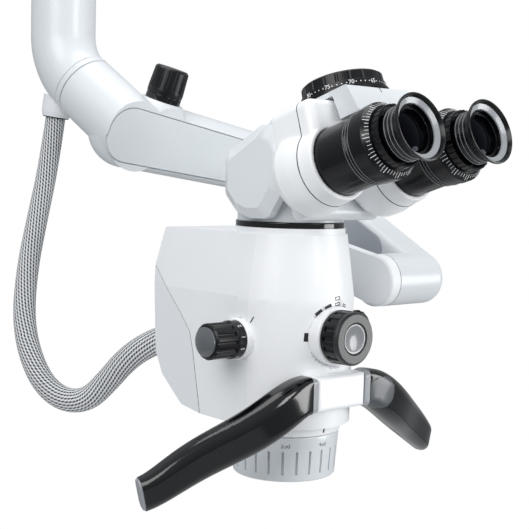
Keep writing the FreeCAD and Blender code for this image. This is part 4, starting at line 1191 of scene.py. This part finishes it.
@dataclass
class FrontMarks(SubAssembly):
    """Index marks printed on the housing round the front knob and beside the others.

    Attributes:
        studio: Camera that gives each mark its place.
        marks: Pixel, width, height and turn of each mark, and its style.
    """

    studio: Studio
    marks: tuple[tuple[tuple[float, float], float, float, float, MarkStyle], ...] = (
        ((318.8, 312.6), 5.6, 2.2, 36.0, MarkStyle.SOLID),
        ((328.3, 306.6), 5.4, 2.0, 22.0, MarkStyle.SOLID),
        ((337.4, 304.2), 4.6, 2.2, 6.0, MarkStyle.OPEN),
        ((337.7, 298.4), 4.6, 2.4, 4.0, MarkStyle.OPEN),
        ((344.2, 305.6), 3.6, 2.0, -22.0, MarkStyle.OPEN),
        ((306.2, 337.4), 3.0, 5.6, -4.0, MarkStyle.SOLID),
        ((252.0, 319.8), 0.8, 4.8, -32.0, MarkStyle.SOLID),
    )

    def build(self) -> None:
        """Print each mark where the photograph shows it."""
        pieces = []
        for pixel, width, height, turn, style in self.marks:
            where = self.studio.surface_at(pixel, "main_housing", turn)
            if style is MarkStyle.SOLID:
                pieces.append(plaque("mark", (width, height, INK_MM), 0.25, where))
            else:
                pieces.append(self.open_mark(width, height, where))
        self.print_marks("housing_index_marks", pieces, Finishes.ink_black, "head", "black_plastic")
        self.objective()

    def open_mark(self, width: float, height: float, where: Matrix) -> bpy.types.Object:
        """Outlined rectangle.

        Args:
            width: Width in millimetres.
            height: Height in millimetres.
            where: Local frame at its middle, Z outward.

        Returns:
            The mark with its place in its mesh.
        """
        deselect()
        bpy.ops.mesh.primitive_plane_add(size=1.0)
        piece = bpy.context.object
        piece.data.transform(Matrix.Diagonal((width * MM, height * MM, 1.0, 1.0)))
        bpy.ops.object.mode_set(mode="EDIT")
        bpy.ops.mesh.select_all(action="SELECT")
        bpy.ops.mesh.inset(thickness=0.55 * MM)
        bpy.ops.mesh.delete(type="FACE")
        bpy.ops.mesh.select_all(action="SELECT")
        bpy.ops.mesh.extrude_region_move(TRANSFORM_OT_translate={"value": (0.0, 0.0, 0.06 * MM)})
        bpy.ops.mesh.select_all(action="SELECT")
        bpy.ops.mesh.normals_make_consistent(inside=False)
        bpy.ops.object.mode_set(mode="OBJECT")
        return settle(piece, where)

    def objective(self) -> None:
        """Index line on the objective collar and grey distances on the focusing ring."""
        where = self.studio.surface_at((324.0, 429.5), "objective_collar")
        line = plaque("objective_index", (1.3, 4.6, 0.16), 0.2, where)
        self.dress(line, Finishes.ink_black, "head", "black_plastic")
        ring = place(Vector(), Z_DIR)
        spots = [ring.inverted() @ self.studio.surface_at(pixel, "focus_ring").translation
                 for pixel in ((285.5, 446.5), (322.5, 444.5))]
        angles = [math.atan2(spot.y, spot.x) for spot in spots]
        step = angles[1] - angles[0]
        radius = math.hypot(spots[0].x, spots[0].y) / MM
        pieces = []
        for i, number in enumerate(("200", "250", "300", "350", "400")):
            angle = angles[0] + (i - 3) * step
            pieces.append(lettering("number", number, 3.0, round_place(ring, radius, spots[0].z / MM, angle)))
        self.print_marks("focus_distances", pieces, Finishes.ink_grey, "focus_ring", "dark_grey")


@dataclass
class SideScale(SubAssembly):
    """White numbers on the dial ring of both magnification knobs.

    Attributes:
        radius: Radius of the dial ring in millimetres.
        reach: Distance of the numbers from the head's middle.
        level: Height of the knobs' axis.
        numbers: Steps of the changer, printed twice round.
    """

    radius: float = 12.55
    reach: float = 50.0
    level: float = -72.5
    numbers: int = 5

    def build(self) -> None:
        """Print the numbers round each dial ring."""
        pieces = []
        for side in (-1, 1):
            where = place(Vector((0.0, 0.0, self.level)), X_DIR * side, Y_DIR)
            for i in range(self.numbers * 2):
                angle = 2 * math.pi * i / (self.numbers * 2) + 0.25
                spot = round_place(where, self.radius, self.reach, angle)
                pieces.append(lettering("number", str(i % self.numbers + 1), 3.0, spot))
        self.print_marks("magnification_scale", pieces, Finishes.ink_white, "magnification_changer", "gloss_white")


@dataclass
class HandleTrim(SubAssembly):
    """Light end caps of both grips and the grey inlay at the root of the right one, whose grey also paints the
    reflection of that grip's front facet.

    Attributes:
        studio: Camera that places the inlay.
        size: Width, height and thickness of an end cap in millimetres.
        end: Middle of the right grip's end.
        facing: Direction in which that end faces.
    """

    studio: Studio
    size: tuple[float, float, float] = (12.6, 19.4, 1.8)
    end: tuple[float, float, float] = (129.3, -13.0, -157.8)
    facing: tuple[float, float, float] = (1.0, 0.4, -0.25)

    def build(self) -> None:
        """Make the caps and the inlay."""
        caps = []
        for side in (-1.0, 1.0):
            out = Vector((side * self.facing[0], *self.facing[1:])).normalized()
            spot = Vector((side * self.end[0], *self.end[1:])) + out * 0.3
            caps.append(plaque("grip_cap", self.size, 5.0, place(spot, out, Y_DIR)))
        trim = joined("grip_end_caps", caps)
        ease(trim, 0.5)
        self.dress(trim, Finishes.bezel, "head", "grey_plastic")
        self.inlay()

    def inlay(self) -> None:
        """Grey inlay that follows the grip's form and ends at its collar; its grey is partly an inlay and partly a
        painted reflection of the grip's front facet.
        """
        where = self.studio.surface_at((382.0, 392.5), "handle_right")
        cutter = plaque("inlay_cutter", (26.0, 21.0, 14.0), 10.0, where)
        piece = merged_copy("handle_right", "grip_inlay_and_painted_reflection")
        bpy.ops.transform.shrink_fatten(value=0.15 * MM)
        bpy.ops.object.mode_set(mode="OBJECT")
        finish_with(piece, "BOOLEAN", operation="INTERSECT", object=cutter)
        bpy.data.objects.remove(cutter)
        smooth(piece)
        self.dress(piece, Finishes.grey_plastic, "head", "grey_plastic")


@dataclass
class OcularHousings(SubAssembly):
    """White castings that hold the eyepieces, with painted shade for the seam behind their front ring.

    Attributes:
        seam_at: Distance of the seam from the eyecup's rim in millimetres.
        seam_width: Width of the band of painted seam shade in millimetres.
        voxel: Size of the castings' even mesh in millimetres.
        rounds: Smoothing rounds of the castings.
    """

    seam_at: float = 76.5
    seam_width: float = 0.6
    voxel: float = 0.6
    rounds: int = 5

    def build(self) -> None:
        """Cast both housings and lay a band of painted shade at each seam."""
        for side, name in ((-1, "left"), (1, "right")):
            body = "ocular_" + name
            piece = cast("ocular_housing_" + name, self.voxel, self.rounds)
            spot = head_point(*rim_point(side)) - EYE_DIR * (self.seam_at * MM)
            # A dark band paints the shade of the seam.
            seam = seam_line(piece, "ocular_seam_shade_" + name, spot, -EYE_DIR, self.seam_width)
            self.dress(seam, Finishes.seam, body, "black_plastic")
            self.dress(piece, Finishes.nose, body, "white_paint", ["ocular_housing_" + name])


def carried_nodes() -> list[Carried]:
    """Sub-assemblies whose pieces keep their CAD form, in the order in which they are built."""
    f = Finishes
    parts = [
        Carried("column", {
            "down_tube": (f.arm_enamel, "white_paint", 0.6),
            "cable_gland": (f.cover, "cover_white", 0.6),
        }, {"roll_shaft": f.steel, "roll_lock_nut": f.steel}),
        Carried("arm", {
            "arm_casting": (f.arm_enamel, "white_paint", 0.5),
            "arm_front_cover": (f.plate, "cover_white", 0.5),
            "arm_side_cover": (f.pad, "grey_plastic", 0.4),
            "friction_base_ring": (f.black_gloss, "black_gloss", 0.3),
        }, {"roll_bush": f.bronze, "tilt_bush": f.bronze}),
        Carried("friction_knob", {"friction_knob": (f.black_grip, "black_plastic", 0.3)},
                {"friction_spindle": f.steel}),
        Carried("head", {
            "tilt_bracket": (f.shell, "white_paint", 0.5),
            "dovetail_ring": (f.black_gloss, "black_anodised", 0.3),
            "side_collars": (f.nose, "gloss_white", 0.3),
            "objective_collar": (f.nose, "gloss_white", 0.4),
            "handle_bracket": (f.nose, "gloss_white", 0.4),
            "handle_collars": (f.bezel, "grey_plastic", 0.3),
            "handle_left": (f.black_gloss, "black_gloss", 0.6),
            "handle_right": (f.black_gloss, "black_gloss", 0.6),
            "tube_base": (f.arm_enamel, "white_paint", 0.5),
        }, {"tilt_shaft": f.steel, "lamp_module": f.black_satin, "deflection_mirror": f.glass,
            "objective_tube": f.black_satin}),
        Carried("light_knob", {
            "light_knob": (f.black_grip, "black_plastic", 0.3),
            "light_knob_face": (f.face_ring, "grey_plastic", 0.3),
            "light_knob_cap": (f.dish, "dark_grey", 0.2),
        }),
        Carried("magnification_changer", {
            "magnification_knob_left": (f.black_grip, "black_plastic", 0.2),
            "magnification_knob_right": (f.black_grip, "black_plastic", 0.2),
            "knob_caps": (f.grey_cap, "dark_grey", 0.1),
        }, {"magnification_shaft": f.steel, "magnification_drum": f.black_satin, "magnification_lenses": f.glass}),
        Carried("focus_ring", {"focus_ring": (f.arm_enamel, "cover_white", 0.2)}),
        Carried("lens_cell", {"lens_cell": (f.black_satin, "black_anodised", 0.2),
                              "objective_lens": (f.glass, "coated_glass", 0.0)}),
        Carried("links", {"link_left": (f.facet, "white_paint", 0.5),
                          "link_right": (f.facet, "white_paint", 0.5)},
                {"low_pivot_shaft": f.steel, "high_pivot_shaft": f.steel}),
        Carried("binocular", {"binocular_body": (f.arm_enamel, "white_paint", 0.5)}, {"prisms": f.glass}),
        Carried("eye_distance_dial", {"eye_distance_dial": (f.black_grip, "black_plastic", 0.3)}),
    ]
    for side in ("left", "right"):
        parts.append(Carried("ocular_" + side, {
            "eyepiece_" + side: (f.black_satin, "black_anodised", 0.2),
            "eye_lens_" + side: (f.glass, "coated_glass", 0.0),
        }))
        parts.append(Carried("diopter_" + side, {"diopter_ring_" + side: (f.black_satin, "black_plastic", 0.15)}))
        parts.append(Carried("eyecup_" + side, {"eyecup_" + side: (f.rubber, "black_rubber", 0.2)}))
    return parts


def main() -> None:
    """Build the studio, the hose and every sub-assembly."""
    logging.basicConfig(level=logging.INFO, format="%(message)s")
    studio = Studio()
    studio.build()
    parts: list[SubAssembly] = [
        Hose(), *carried_nodes(), Housing(), OcularHousings(), RollRing(), LightCollar(), TiltSeam(), GlandMouth(),
        EyeRim(-1), EyeRim(1), DialScale(studio), FrontMarks(studio), SideScale(), HandleTrim(studio)]
    for part in parts:
        LOG.info("building %s", type(part).__name__)
        part.build()


if __name__ == "__main__":
    main()
